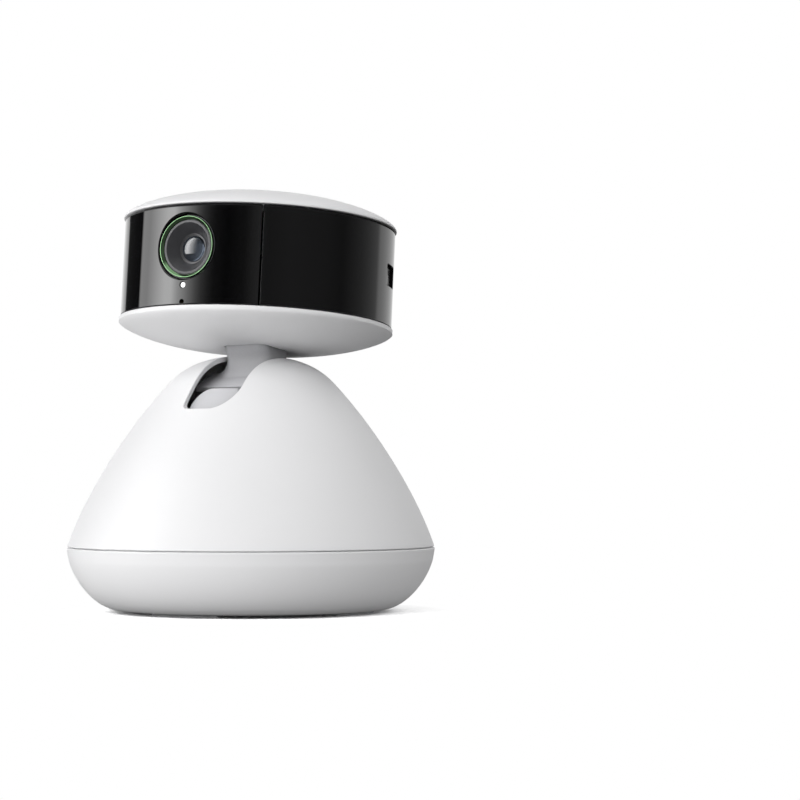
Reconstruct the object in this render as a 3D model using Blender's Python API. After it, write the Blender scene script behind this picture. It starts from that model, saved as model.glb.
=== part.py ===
"""Pet camera on a turning cone.

A round weighted base carries a cone that turns about the upright axis.
A neck swings in a slot of the cone about a crosswise axle and carries the drum-shaped head.
Lengths are metres and +Z is up. The camera looks along -Y.
The origin is at the middle of the footprint, on the table.
Azimuths run from the front (-Y) towards +X.
"""
import math

import bmesh
import bpy
from mathutils import Matrix, Vector

# Fits between pieces
GAP = 0.0003
RUNNING = 0.0004
OVERRUN = 0.002

# Facets round a turn, in multiples of four so that no corner lies on a mirror plane
SHELL_FACETS = 48
ROUND_FACETS = 24
SMALL_FACETS = 12

# Base bowl
BASE_RADIUS = 0.0502
BASE_TOP = 0.0175
BASE_FLOOR = 0.0009
BASE_WALL = 0.0022
BOWL_FLARE = 0.0129
BOWL_RIM_BAND = 0.0034
FOOT_LIP = 0.0008
LEDGE_REACH = 0.0040
LEDGE_THICKNESS = 0.0020
BOWL_POINTS = 7
BOWL_FALL_POWER = 1.665
BOWL_ROUND_POWER = 1.598

# Base plate and feet
PLATE_THICKNESS = 0.0018
FOOT_HEIGHT = 0.0006
FOOT_SET_BACK = 0.0020
FOOT_WIDTH = 0.0060
FOOT_HALF_ANGLE = math.radians(17)

# Ballast ring
BALLAST_CLEARANCE = 0.0005
BALLAST_POST_CLEARANCE = 0.0015
BALLAST_HEIGHT = 0.0060

# Pan post and what turns on it
POST_RADIUS = 0.0060
POST_BORE = 0.0040
POST_FLANGE_RADIUS = 0.0200
POST_FLANGE_THICKNESS = 0.0020
GEAR_SEAT_RADIUS = 0.0085
GEAR_SEAT_TOP = 0.0120
SUN_FACE = 0.0040
WASHER_RADIUS = 0.0105
WASHER_THICKNESS = 0.0020
TURNTABLE_CLEARANCE = 0.0022
TURNTABLE_THICKNESS = 0.0022
HUB_RADIUS = 0.0083
HUB_HEIGHT = 0.0018
CLIP_RADIUS = 0.0083
CLIP_THICKNESS = 0.0010
POST_ABOVE_CLIP = 0.0006

# Gears
MODULE = 0.0008
SUN_TEETH = 36
PINION_TEETH = 12
TILT_TEETH = 40
PRESSURE_ANGLE = math.radians(25)
ADDENDUM_SHARE = 0.70
DEDENDUM_SHARE = 0.98
BACKLASH = 0.00022
CENTRE_CLEARANCE = 0.0001
PINION_FACE_OVER = 0.0003

# Cone
SEAM = 0.00045
CONE_SET_BACK = 0.0002
CONE_HEIGHT = 0.0519
CONE_WALL = 0.0020
CONE_LOWER_SHARES = ((1.0, 0.0), (0.924, 0.223), (0.720, 0.577), (0.451, 0.857))
CONE_UPPER_SHARES = ((0.451, 0.857), (0.309, 1.004), (0.109, 1.0), (0.0, 1.0))
CONE_LOWER_POINTS = 8
CONE_UPPER_POINTS = 5

# Slot in the cone
SLOT_LEFT = -0.0039
SLOT_RIGHT = 0.0104
SLOT_DEPTH = 0.01505
SLOT_FILLET = 0.0064
SLOT_SMALL_FILLET = 0.0016
SLOT_REAR = 0.0165
SLOT_REAR_FILLET = 0.0030

# Tongue behind the lower end of the slot
TONGUE_WALL = 0.0010
TONGUE_LEFT_GAP = 0.0005
TONGUE_RIGHT_GAP = 0.0017
TONGUE_RISE = 0.0055
TONGUE_LAP = 0.0058
TONGUE_LEFT_FILLET = 0.0050
TONGUE_RIGHT_FILLET = 0.0015

# Tilt axle, brackets and range
PIVOT_DEPTH = 0.03445
REST_LEAN = math.radians(5.0)
AXLE_RADIUS = 0.0020
AXLE_OVERHANG = 0.0012
BUSH_WALL = 0.0012
BRACKET_THICKNESS = 0.0024
BRACKET_HALF_WIDTH = 0.0070
BRACKET_ABOVE_AXLE = 0.0060
BRACKET_FOOT_LENGTH = 0.0080
BRACKET_FOOT_THICKNESS = 0.0020

# Neck, hub and shield
NECK_MIDDLE = 0.00325
NECK_WIDTH = 0.0130
NECK_FRONT = 0.0133
NECK_BACK = 0.0006
NECK_THROAT = 0.0102
NECK_LEDGE = 0.0001
NECK_EDGE = 0.0025
NECK_HUB_RADIUS = 0.0065
NECK_HUB_HALF = 0.0116
SHIELD_CLEARANCE = 0.00095
SHIELD_WALL = 0.0014
SHIELD_LEFT = -0.0080
SHIELD_RIGHT = 0.0112
SHIELD_FRONT_REACH = 0.01834
SHIELD_REAR_ANGLE = math.radians(54)
NECK_BLEND_REACH = 0.00398
NECK_BLEND_RISE = -0.0001
NECK_LIP = 0.0024

# Tilt gear and motor
TILT_GEAR_FACE = 0.0035
TILT_GEAR_INSET = 0.0005
TILT_GEAR_RING = 0.0030
TILT_CONTACT_ANGLE = math.radians(170)
TILT_GEAR_FIRST_TOOTH = -4
TILT_GEAR_LAST_TOOTH = 3
TILT_MOTOR_RADIUS = 0.0075
TILT_MOTOR_LENGTH = 0.0100
PAN_MOTOR_RADIUS = 0.0100
PAN_MOTOR_LENGTH = 0.0120
MOTOR_EAR_CLEARANCE = 0.0026
MOTOR_EAR_RADIUS = 0.0032
MOTOR_EAR_THICKNESS = 0.0010
MOTOR_SHAFT_RADIUS = 0.0012
MOTOR_SHAFT_DEPTH = 0.0033

# Head, in its own frame: z runs along the drum's axis
HEAD_BACK_SET = -0.00157
HEAD_GAP = 0.00111
BAND_RADIUS = 0.03725
BAND_WALL = 0.0018
BAND_BOTTOM = 0.0184
BAND_TOP = 0.04475
RIM_RADIUS = 0.0376
RIM_TOP = 0.0181
RIM_FOOT = 0.0170
DISH_RADIUS = 0.0371
DISH_TOP = 0.0162
DISH_DEPTH = 0.0060
DISH_FLAT_POWER = 2.52
DISH_ROUND_POWER = 0.81
DISH_WALL = 0.0020
CAP_RADIUS = 0.0376
CAP_LIP = 0.0450
CAP_EDGE = 0.0453
CAP_RISE = 0.0080
CAP_ROUND_POWER = 0.667
CAP_WALL = 0.0020
CAP_SPIGOT_RADIUS = 0.0350
CAP_SPIGOT_DEPTH = 0.0016
DOME_POINTS = 6

# Window and band openings
WINDOW_LEFT = math.radians(-39.1)
WINDOW_RIGHT = math.radians(32.5)
BAND_SEAM = 0.00025
LENS_HEIGHT = 0.0335
LENS_HOLE = 0.0091
LIGHT_HEIGHT = 0.0232
LIGHT_HOLE = 0.0008
MIC_HEIGHT = 0.0192
MIC_HOLE = 0.00065

# Lens: distances run back from the window's face
BARREL_RADIUS = 0.0086
BARREL_FRONT = 0.0005
BARREL_NECK = 0.0035
BARREL_TAIL_RADIUS = 0.0066
BARREL_TAIL = 0.0130
BARREL_BORE = 0.0034
RING_SEAT = 0.0012
RING_OUTER = 0.0081
RING_INNER = 0.0074
RING_THICKNESS = 0.0004
FUNNEL_STEP_RADIUS = 0.0052
FUNNEL_STEP_DEPTH = 0.0028
FUNNEL_STEP = 0.0004
FUNNEL_FOOT_DEPTH = 0.0042
LENS_RADIUS = 0.0031
FRONT_LENS_FACE = 0.0037
FRONT_LENS_BULGE = 0.0011
FRONT_LENS_BACK = 0.0066
REAR_LENS_FACE = 0.0084
REAR_LENS_BACK = 0.0102
MOUNT_RADIUS = 0.0084
MOUNT_FRONT = 0.0070
SENSOR_BOARD_FACE = 0.0143
SENSOR_BOARD = (0.0220, 0.0200, 0.0012)
SENSOR_CHIP = (0.0064, 0.0056, 0.0008)

# Side key
KEY_AZIMUTH = math.radians(107.5)
KEY_HEIGHT = 0.0317
KEY_WINDOW = (0.0083, 0.0058)
KEY_CLEARANCE = 0.0004
KEY_RECESS = 0.0010
KEY_FLANGE = 0.0008
KEY_FLANGE_FACE = 0.0028
KEY_FLANGE_THICKNESS = 0.0010
KEY_SWITCH = (0.0050, 0.0044, 0.0026)
KEY_TRAVEL = 0.0007

# Small parts inside the head
NECK_FLANGE_OVER = 0.0040
NECK_FLANGE_THICKNESS = 0.0020
NECK_PAD_TOP = 0.0138
HEAD_BOARD_HEIGHT = 0.0176
HEAD_BOARD_RADIUS = 0.0300
HEAD_BOARD_THICKNESS = 0.0012
HEAD_BOARD_FRONT = 0.0150
BOARD_BOSS_RADIUS = 0.0024
BOARD_BOSS_RING_RADIUS = 0.0265
BOARD_BOSS_AZIMUTHS = (math.radians(80), math.radians(180), math.radians(280))
INFRARED_BOARD = (0.0080, 0.0140, 0.0010)
INFRARED_AZIMUTH = math.radians(25)
INFRARED_DEPTH = 0.0062
EMITTER_RADIUS = 0.0017
EMITTER_LENGTH = 0.0024
EMITTER_SPREAD = 0.0035
SPEAKER_RADIUS = 0.0105
SPEAKER_DEPTH = 0.0055
SPEAKER_HEIGHT = 0.0325
SPEAKER_INSET = 0.0024
SPEAKER_SLOTS = 7
SPEAKER_SLOT = (0.0011, 0.0090)
SPEAKER_SLOT_PITCH = 0.0024
MIC_BODY = (0.0038, 0.0016, 0.0015)
LIGHT_PIPE_RADIUS = 0.00055
LIGHT_PIPE_LENGTH = 0.0060

# Power socket at the rear of the base
SOCKET_HEIGHT = 0.0084
SOCKET_SIZE = (0.0090, 0.0032)
SOCKET_WALL = 0.0004
SOCKET_DEPTH = 0.0066
SOCKET_SET_BACK = 0.0050
SOCKET_EDGE = 0.0012
SOCKET_BLADE = (0.0064, 0.0044, 0.0007)
SOCKET_WINDOW = (0.0122, 0.0064)
SOCKET_WINDOW_EDGE = 0.0018
SOCKET_BOARD = (0.0160, 0.0074, 0.0012)
SOCKET_BOARD_LEAD = 0.0060

# Screws
SCREW_RADIUS = 0.0009
SCREW_HEAD_RADIUS = 0.0017
SCREW_HEAD = 0.0008
SCREW_HOLE = 0.0012
BASE_SCREW_LENGTH = 0.0032
TABLE_SCREW_SET_BACK = 0.0043
TABLE_SCREW_LENGTH = 0.0090
BOSS_RADIUS = 0.0030
BOSS_HEIGHT = 0.0085
MOTOR_SCREW_LENGTH = 0.0026
NECK_SCREW_LENGTH = 0.0046

# Board in the cone
CONTROL_BOARD = (0.0011, 0.0200, 0.0150)
CONTROL_BOARD_X = 0.0240

# Radii that follow from the base's radius
BOWL_FOOT_RADIUS = BASE_RADIUS - BOWL_FLARE
PLATE_OPENING_RADIUS = BOWL_FOOT_RADIUS - FOOT_LIP
LEDGE_RADIUS = PLATE_OPENING_RADIUS - LEDGE_REACH
BASE_SCREW_RING_RADIUS = PLATE_OPENING_RADIUS - LEDGE_REACH / 2
FOOT_OUTER_RADIUS = PLATE_OPENING_RADIUS - FOOT_SET_BACK
FOOT_INNER_RADIUS = FOOT_OUTER_RADIUS - FOOT_WIDTH
BALLAST_OUTER_RADIUS = LEDGE_RADIUS - BALLAST_CLEARANCE
BALLAST_INNER_RADIUS = POST_FLANGE_RADIUS + BALLAST_POST_CLEARANCE
SOCKET_FACE = BASE_RADIUS - SOCKET_SET_BACK
CONE_FOOT_RADIUS = BASE_RADIUS - CONE_SET_BACK
TURNTABLE_RADIUS = CONE_FOOT_RADIUS - CONE_WALL - TURNTABLE_CLEARANCE
TABLE_SCREW_RING_RADIUS = TURNTABLE_RADIUS - TABLE_SCREW_SET_BACK

# Places that follow from the values above
PLATE_TOP = BASE_FLOOR + PLATE_THICKNESS
LEDGE_UNDER = PLATE_TOP + GAP
SUN_FOOT = GEAR_SEAT_TOP + GAP
WASHER_FOOT = SUN_FOOT + SUN_FACE + GAP
TURNTABLE_FOOT = WASHER_FOOT + WASHER_THICKNESS + GAP
TURNTABLE_TOP = TURNTABLE_FOOT + TURNTABLE_THICKNESS
HUB_TOP = TURNTABLE_TOP + HUB_HEIGHT
CLIP_FOOT = HUB_TOP + GAP
POST_TOP = CLIP_FOOT + CLIP_THICKNESS + POST_ABOVE_CLIP
CONE_FOOT = BASE_TOP + SEAM
CONE_TOP = CONE_FOOT + CONE_HEIGHT
SLOT_FLOOR = CONE_TOP - SLOT_DEPTH
TONGUE_LEFT = SLOT_LEFT + TONGUE_LEFT_GAP
TONGUE_RIGHT = SLOT_RIGHT - TONGUE_RIGHT_GAP
TONGUE_TOP = SLOT_FLOOR + TONGUE_RISE
TONGUE_FOOT = SLOT_FLOOR - TONGUE_LAP
PIVOT_HEIGHT = CONE_TOP - PIVOT_DEPTH
SUN_PITCH = MODULE * SUN_TEETH / 2
PINION_PITCH = MODULE * PINION_TEETH / 2
TILT_PITCH = MODULE * TILT_TEETH / 2
PAN_CENTRES = SUN_PITCH + PINION_PITCH + CENTRE_CLEARANCE
TILT_CENTRES = TILT_PITCH + PINION_PITCH + CENTRE_CLEARANCE
NECK_LEFT = NECK_MIDDLE - NECK_WIDTH / 2
NECK_RIGHT = NECK_MIDDLE + NECK_WIDTH / 2
DISH_BOTTOM = DISH_TOP - DISH_DEPTH
HEAD_RISE = CONE_TOP - PIVOT_HEIGHT + HEAD_GAP - DISH_BOTTOM
WHITE = (0.86, 0.86, 0.87)


def remove_everything():
    """Empty the scene."""
    for old in list(bpy.data.objects):
        bpy.data.objects.remove(old, do_unlink=True)


def finish(piece, colour, roughness, metallic=0.0, smooth=True):
    """Give a piece its own material and shade its round faces smooth."""
    material = bpy.data.materials.new(piece.name)
    material.use_nodes = True
    shader = material.node_tree.nodes["Principled BSDF"]
    shader.inputs["Base Color"].default_value = (*colour, 1.0)
    shader.inputs["Roughness"].default_value = roughness
    shader.inputs["Metallic"].default_value = metallic
    material.diffuse_color = (*colour, 1.0)
    piece.data.materials.append(material)
    if smooth:
        piece.data.shade_smooth()
        piece.data.set_sharp_from_angle(angle=math.radians(35))
    return piece


def add_object(name, mesh, parent=None):
    """Link a mesh as a new object, under a parent where one is given."""
    piece = bpy.data.objects.new(name, mesh)
    bpy.context.collection.objects.link(piece)
    piece.parent = parent
    return piece


def mesh_from(name, points, faces):
    """Build a closed mesh with its faces pointing out."""
    work = bmesh.new()
    corners = [work.verts.new(point) for point in points]
    for face in faces:
        work.faces.new([corners[index] for index in face])
    bmesh.ops.recalc_face_normals(work, faces=work.faces)
    mesh = bpy.data.meshes.new(name)
    work.to_mesh(mesh)
    work.free()
    return mesh


def turned(name, profile, facets=ROUND_FACETS, parent=None):
    """Turn a closed outline of (radius, height) points round Z."""
    points = []
    rings = []
    for radius, height in profile:
        if radius == 0:
            rings.append([len(points)] * facets)
            points.append((0, 0, height))
            continue
        rings.append(list(range(len(points), len(points) + facets)))
        for step in range(facets):
            angle = math.tau * step / facets
            points.append((radius * math.sin(angle), -radius * math.cos(angle), height))
    faces = []
    for ring, other in zip(rings, rings[1:] + rings[:1]):
        for step in range(facets):
            after = (step + 1) % facets
            corners = [ring[step], ring[after], other[after], other[step]]
            corners = list(dict.fromkeys(corners))
            if len(corners) > 2:
                faces.append(corners)
    return add_object(name, mesh_from(name, points, faces), parent)


def turned_part(name, profile, start, end, facets, parent=None):
    """Turn a closed outline of (radius, height) points from one azimuth to another, with flat ends."""
    points = []
    count = len(profile)
    for step in range(facets + 1):
        angle = start + (end - start) * step / facets
        for radius, height in profile:
            points.append((radius * math.sin(angle), -radius * math.cos(angle), height))
    faces = [list(range(count)), list(range(facets * count, (facets + 1) * count))]
    for step in range(facets):
        for index in range(count):
            after = (index + 1) % count
            low = step * count
            high = low + count
            faces.append([low + index, low + after, high + after, high + index])
    return add_object(name, mesh_from(name, points, faces), parent)


def prism(name, outline, start, end, axis, parent=None):
    """Extrude an outline along X, Y or Z.

    The outline is (y, z) along X, (x, z) along Y and (x, y) along Z.
    """
    count = len(outline)
    points = []
    for along in (start, end):
        for across, up in outline:
            place = {"X": (along, across, up), "Y": (across, along, up), "Z": (across, up, along)}
            points.append(place[axis])
    faces = [list(range(count)), list(range(count, 2 * count))]
    for index in range(count):
        after = (index + 1) % count
        faces.append([index, after, count + after, count + index])
    return add_object(name, mesh_from(name, points, faces), parent)


def lofted(name, sections, parent=None):
    """Join sections of equally many points into a solid, with a flat face at each end."""
    count = len(sections[0])
    points = [point for section in sections for point in section]
    last = count * (len(sections) - 1)
    faces = [list(range(count)), list(range(last, last + count))]
    for low in range(0, last, count):
        for index in range(count):
            after = (index + 1) % count
            faces.append([low + index, low + after, low + count + after, low + count + index])
    return add_object(name, mesh_from(name, points, faces), parent)


def circle_outline(radius, facets=ROUND_FACETS, centre=(0.0, 0.0)):
    """Points round a circle, with a facet on each axis rather than a corner."""
    angles = [math.tau * (step + 0.5) / facets for step in range(facets)]
    return [(centre[0] + radius * math.cos(angle), centre[1] + radius * math.sin(angle))
            for angle in angles]


def rectangle_outline(width, height, centre=(0.0, 0.0)):
    """Corners of a rectangle."""
    return [(centre[0] + sx * width / 2, centre[1] + sy * height / 2)
            for sx, sy in ((-1, -1), (1, -1), (1, 1), (-1, 1))]


def rounded_outline(corners, steps=4):
    """Corners given as (x, y, fillet), anticlockwise, with each fillet as an arc."""
    outline = []
    count = len(corners)
    for index, (x, y, fillet) in enumerate(corners):
        here = Vector((x, y))
        before = (Vector(corners[index - 1][:2]) - here).normalized()
        after = (Vector(corners[(index + 1) % count][:2]) - here).normalized()
        if fillet == 0:
            outline.append((here.x, here.y))
            continue
        half = before.angle(after) / 2
        reach = fillet / math.tan(half)
        centre = here + (before + after).normalized() * fillet / math.sin(half)
        first = here + before * reach - centre
        last = here + after * reach - centre
        turn = first.angle_signed(last)
        for step in range(steps + 1):
            spoke = first.copy()
            spoke.rotate(Matrix.Rotation(-turn * step / steps, 2))
            outline.append((centre.x + spoke.x, centre.y + spoke.y))
    return outline


def rounded_rectangle(width, height, fillet, centre=(0.0, 0.0), steps=3):
    """A rectangle with round corners."""
    corners = [(x, y, fillet) for x, y in rectangle_outline(width, height, centre)]
    return rounded_outline(corners, steps)


def curve_points(shares, count):
    """Points on a cubic curve through its first and last shares."""
    points = []
    for step in range(count + 1):
        t = step / count
        weights = ((1 - t) ** 3, 3 * t * (1 - t) ** 2, 3 * t * t * (1 - t), t ** 3)
        points.append(tuple(sum(weight * share[axis] for weight, share in zip(weights, shares))
                            for axis in (0, 1)))
    return points


def inset_profile(profile, distance):
    """Shift each point of an open outline, drawn from the foot up, to its left by a distance."""
    shifted = []
    for index, point in enumerate(profile):
        before = Vector(profile[max(index - 1, 0)])
        after = Vector(profile[min(index + 1, len(profile) - 1)])
        along = (after - before).normalized()
        shifted.append((point[0] - along.y * distance, point[1] + along.x * distance))
    return shifted


def thinned(points):
    """Every second point of an outline, with both of its ends."""
    return points[:-1][::2] + [points[-1]]


def as_cutter(tool):
    """Mark a shape as a tool that is not part of the camera."""
    tool.hide_render = True
    tool.display_type = "WIRE"
    return tool


def combine(piece, tool, operation="DIFFERENCE"):
    """Cut a piece with a tool, or join or intersect the two."""
    as_cutter(tool)
    step = piece.modifiers.new(operation.lower(), "BOOLEAN")
    step.operation = operation
    step.solver = "EXACT"
    step.object = tool
    return piece


def drill(piece, name, radius, start, end, place, axis="Z", facets=SMALL_FACETS, parent=None):
    """Cut a round hole along an axis, centred on a place in the plane across it."""
    outline = circle_outline(radius, facets, place)
    return combine(piece, prism(name, outline, start, end, axis, parent))


def polar(radius, azimuth):
    """A place at an azimuth, as (x, y)."""
    return radius * math.sin(azimuth), -radius * math.cos(azimuth)


def screw(name, place, seat, length, down=1, parent=None):
    """A screw whose head sits under a seat (down = 1) or on top of it (down = -1)."""
    profile = [(0, length), (SCREW_RADIUS, length), (SCREW_RADIUS, 0), (SCREW_HEAD_RADIUS, 0),
               (SCREW_HEAD_RADIUS, -SCREW_HEAD), (0, -SCREW_HEAD)]
    profile = [(radius, height * down) for radius, height in profile]
    piece = turned(name, profile, SMALL_FACETS, parent)
    piece.location = (place[0], place[1], seat)
    return finish(piece, (0.55, 0.56, 0.58), 0.35, 1.0)


def gear_outline(teeth, phase, first=0, last=None):
    """Involute teeth, anticlockwise, with one tooth centred on the phase angle."""
    pitch = MODULE * teeth / 2
    base = pitch * math.cos(PRESSURE_ANGLE)
    tip = pitch + MODULE * ADDENDUM_SHARE
    root = pitch - MODULE * DEDENDUM_SHARE
    last = teeth - 1 if last is None else last

    def half_angle(radius):
        slant = math.acos(min(base / radius, 1.0))
        half = math.pi / (2 * teeth) - BACKLASH / (2 * pitch)
        return half + math.tan(PRESSURE_ANGLE) - PRESSURE_ANGLE - (math.tan(slant) - slant)

    start = max(base, root)
    radii = [start, tip]
    if root < base:
        radii.insert(0, root)
    outline = []
    for tooth in range(first, last + 1):
        middle = phase + math.tau * tooth / teeth
        sides = [(radius, middle - half_angle(max(radius, start))) for radius in radii]
        sides += [(radius, middle + half_angle(max(radius, start))) for radius in reversed(radii)]
        outline += [(radius * math.cos(angle), radius * math.sin(angle)) for radius, angle in sides]
    return outline


def bowl_outline():
    """The bowl's outer curve from the foot up: a superellipse, then a straight band to the rim."""
    drop = BASE_TOP - BASE_FLOOR
    last = math.acos(BOWL_RIM_BAND / drop)
    falls = [math.cos(last * step / BOWL_POINTS) for step in range(BOWL_POINTS + 1)] + [0]
    points = []
    for fall in falls:
        reach = (1 - fall ** BOWL_FALL_POWER) ** (1 / BOWL_ROUND_POWER)
        points.append((BOWL_FOOT_RADIUS + BOWL_FLARE * reach, BASE_TOP - drop * fall))
    return points


def cone_outline():
    """The cone's outer curve from the seam to the crown, as two joined cubic curves."""
    shares = curve_points(CONE_LOWER_SHARES, CONE_LOWER_POINTS)
    shares += curve_points(CONE_UPPER_SHARES, CONE_UPPER_POINTS)[1:]
    return [(CONE_FOOT_RADIUS * radius, CONE_FOOT + CONE_HEIGHT * height) for radius, height in shares]


def shield_radius():
    """Radius of the largest drum round the tilt axis that clears the tongue and the cone."""
    inside = inset_profile(cone_outline(), CONE_WALL + GAP + TONGUE_WALL)
    return min(math.hypot(radius, height - PIVOT_HEIGHT) for radius, height in inside) - SHIELD_CLEARANCE


def shield_angle(reach):
    """Angle from the vertical at which the shield lies a distance in front of the tilt axis."""
    return math.asin(reach / shield_radius())


def dish_height(radius):
    """Height of the head's dished underside at a radius."""
    share = min(radius / DISH_RADIUS, 1.0)
    return DISH_TOP - DISH_DEPTH * (1 - share ** DISH_FLAT_POWER) ** DISH_ROUND_POWER


def cap_height(radius):
    """Height of the head's lid at a radius."""
    share = min(radius / CAP_RADIUS, 1.0)
    return CAP_EDGE + CAP_RISE * (1 - share * share) ** CAP_ROUND_POWER


def dome_radii(radius):
    """Radii from the middle to the rim, closer together near the rim."""
    return [radius * math.sin(math.pi / 2 * step / DOME_POINTS) for step in range(DOME_POINTS + 1)]


def make_base_shell():
    """The bowl, with a ledge that the base plate is screwed to and a window for the power socket."""
    outer = bowl_outline()
    inner = [point for point in inset_profile(outer, BASE_WALL)
             if point[1] > LEDGE_UNDER + LEDGE_THICKNESS]
    inner = thinned(inner[:-1] + [(inner[-1][0], BASE_TOP)])
    foot = [(PLATE_OPENING_RADIUS, BASE_FLOOR), (PLATE_OPENING_RADIUS, LEDGE_UNDER),
            (LEDGE_RADIUS, LEDGE_UNDER), (LEDGE_RADIUS, LEDGE_UNDER + LEDGE_THICKNESS),
            (inner[0][0], LEDGE_UNDER + LEDGE_THICKNESS)]
    shell = turned("base_shell", outer[::-1] + foot + inner, SHELL_FACETS)
    for index in range(4):
        place = polar(BASE_SCREW_RING_RADIUS, math.pi / 4 + math.pi / 2 * index)
        drill(shell, f"ledge_hole_{index + 1}", SCREW_HOLE, LEDGE_UNDER - GAP,
              LEDGE_UNDER + LEDGE_THICKNESS + GAP, place)
    window = rounded_rectangle(*SOCKET_WINDOW, SOCKET_WINDOW_EDGE, (0, SOCKET_HEIGHT))
    combine(shell, prism("socket_window", window, SOCKET_FACE - BASE_WALL - OVERRUN,
                         BASE_RADIUS + OVERRUN, "Y"))
    return finish(shell, WHITE, 0.45)


def make_base_plate():
    """The round plate under the base and its four screws."""
    radius = PLATE_OPENING_RADIUS - GAP
    plate = turned("base_plate", [(0, PLATE_TOP), (radius, PLATE_TOP), (radius, BASE_FLOOR),
                                  (0, BASE_FLOOR)], SHELL_FACETS)
    seat = BASE_FLOOR + SCREW_HEAD + GAP
    for index in range(4):
        place = polar(BASE_SCREW_RING_RADIUS, math.pi / 4 + math.pi / 2 * index)
        drill(plate, f"plate_hole_{index + 1}", SCREW_HOLE, BASE_FLOOR - OVERRUN,
              PLATE_TOP + OVERRUN, place)
        drill(plate, f"plate_counterbore_{index + 1}", SCREW_HEAD_RADIUS + GAP,
              BASE_FLOOR - OVERRUN, seat, place)
        screw(f"base_screw_{index + 1}", place, seat - GAP, BASE_SCREW_LENGTH)
    return finish(plate, (0.80, 0.80, 0.81), 0.6)


def make_feet():
    """Four low pads under the base plate."""
    profile = [(FOOT_OUTER_RADIUS, FOOT_HEIGHT), (FOOT_OUTER_RADIUS, 0), (FOOT_INNER_RADIUS, 0),
               (FOOT_INNER_RADIUS, FOOT_HEIGHT)]
    for index, name in enumerate(("front", "right", "rear", "left")):
        middle = math.pi / 2 * index
        foot = turned_part(f"foot_{name}", profile, middle - FOOT_HALF_ANGLE,
                           middle + FOOT_HALF_ANGLE, 8)
        finish(foot, (0.78, 0.78, 0.78), 0.8)


def make_ballast():
    """A steel ring that keeps the camera upright."""
    foot = PLATE_TOP + GAP
    top = foot + BALLAST_HEIGHT
    ring = turned("ballast_ring", [(BALLAST_OUTER_RADIUS, top), (BALLAST_OUTER_RADIUS, foot),
                                   (BALLAST_INNER_RADIUS, foot), (BALLAST_INNER_RADIUS, top)])
    return finish(ring, (0.40, 0.41, 0.42), 0.4, 1.0)


def make_pan_post():
    """The hollow post that the cone turns on, with the gear, washer and clip that it carries."""
    foot = PLATE_TOP + GAP
    shoulder = foot + POST_FLANGE_THICKNESS
    post = turned("pan_post", [
        (POST_RADIUS, POST_TOP), (POST_RADIUS, GEAR_SEAT_TOP), (GEAR_SEAT_RADIUS, GEAR_SEAT_TOP),
        (GEAR_SEAT_RADIUS, shoulder), (POST_FLANGE_RADIUS, shoulder), (POST_FLANGE_RADIUS, foot),
        (POST_BORE, foot), (POST_BORE, POST_TOP)])
    finish(post, (0.16, 0.16, 0.17), 0.5)

    bore = POST_RADIUS + GAP
    sun = prism("sun_gear", gear_outline(SUN_TEETH, math.pi / 2), SUN_FOOT, SUN_FOOT + SUN_FACE, "Z")
    drill(sun, "sun_gear_bore", bore, SUN_FOOT - OVERRUN, SUN_FOOT + SUN_FACE + OVERRUN, (0, 0),
          facets=ROUND_FACETS)
    finish(sun, (0.80, 0.79, 0.74), 0.5)

    top = WASHER_FOOT + WASHER_THICKNESS
    washer = turned("thrust_washer", [(WASHER_RADIUS, top), (WASHER_RADIUS, WASHER_FOOT),
                                      (bore, WASHER_FOOT), (bore, top)])
    finish(washer, (0.72, 0.56, 0.28), 0.35, 1.0)

    top = CLIP_FOOT + CLIP_THICKNESS
    clip = turned("retaining_clip", [(CLIP_RADIUS, top), (CLIP_RADIUS, CLIP_FOOT),
                                     (bore, CLIP_FOOT), (bore, top)])
    finish(clip, (0.50, 0.51, 0.53), 0.3, 1.0)


def make_power_socket():
    """The power socket behind the base's rear window, on its small board."""
    width, height = SOCKET_SIZE
    back = SOCKET_FACE - SOCKET_DEPTH
    outline = rounded_rectangle(width, height, SOCKET_EDGE, (0, SOCKET_HEIGHT))
    shell = prism("power_socket", outline, back, SOCKET_FACE, "Y")
    cavity = rounded_rectangle(width - 2 * SOCKET_WALL, height - 2 * SOCKET_WALL,
                               SOCKET_EDGE - SOCKET_WALL, (0, SOCKET_HEIGHT))
    combine(shell, prism("socket_cavity", cavity, back + 2 * SOCKET_WALL,
                         SOCKET_FACE + OVERRUN, "Y"))
    finish(shell, (0.70, 0.71, 0.72), 0.3, 1.0)

    blade_width, blade_length, blade_thickness = SOCKET_BLADE
    blade_back = back + 2 * SOCKET_WALL + GAP
    outline = rectangle_outline(blade_width, blade_thickness, (0, SOCKET_HEIGHT))
    blade = prism("socket_blade", outline, blade_back, blade_back + blade_length, "Y")
    finish(blade, (0.05, 0.05, 0.05), 0.5)

    board_width, board_length, board_thickness = SOCKET_BOARD
    top = SOCKET_HEIGHT - height / 2 - GAP
    front = back - SOCKET_BOARD_LEAD
    outline = rectangle_outline(board_width, board_length, (0, front + board_length / 2))
    board = prism("power_board", outline, top - board_thickness, top, "Z")
    finish(board, (0.05, 0.22, 0.12), 0.5)


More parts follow.
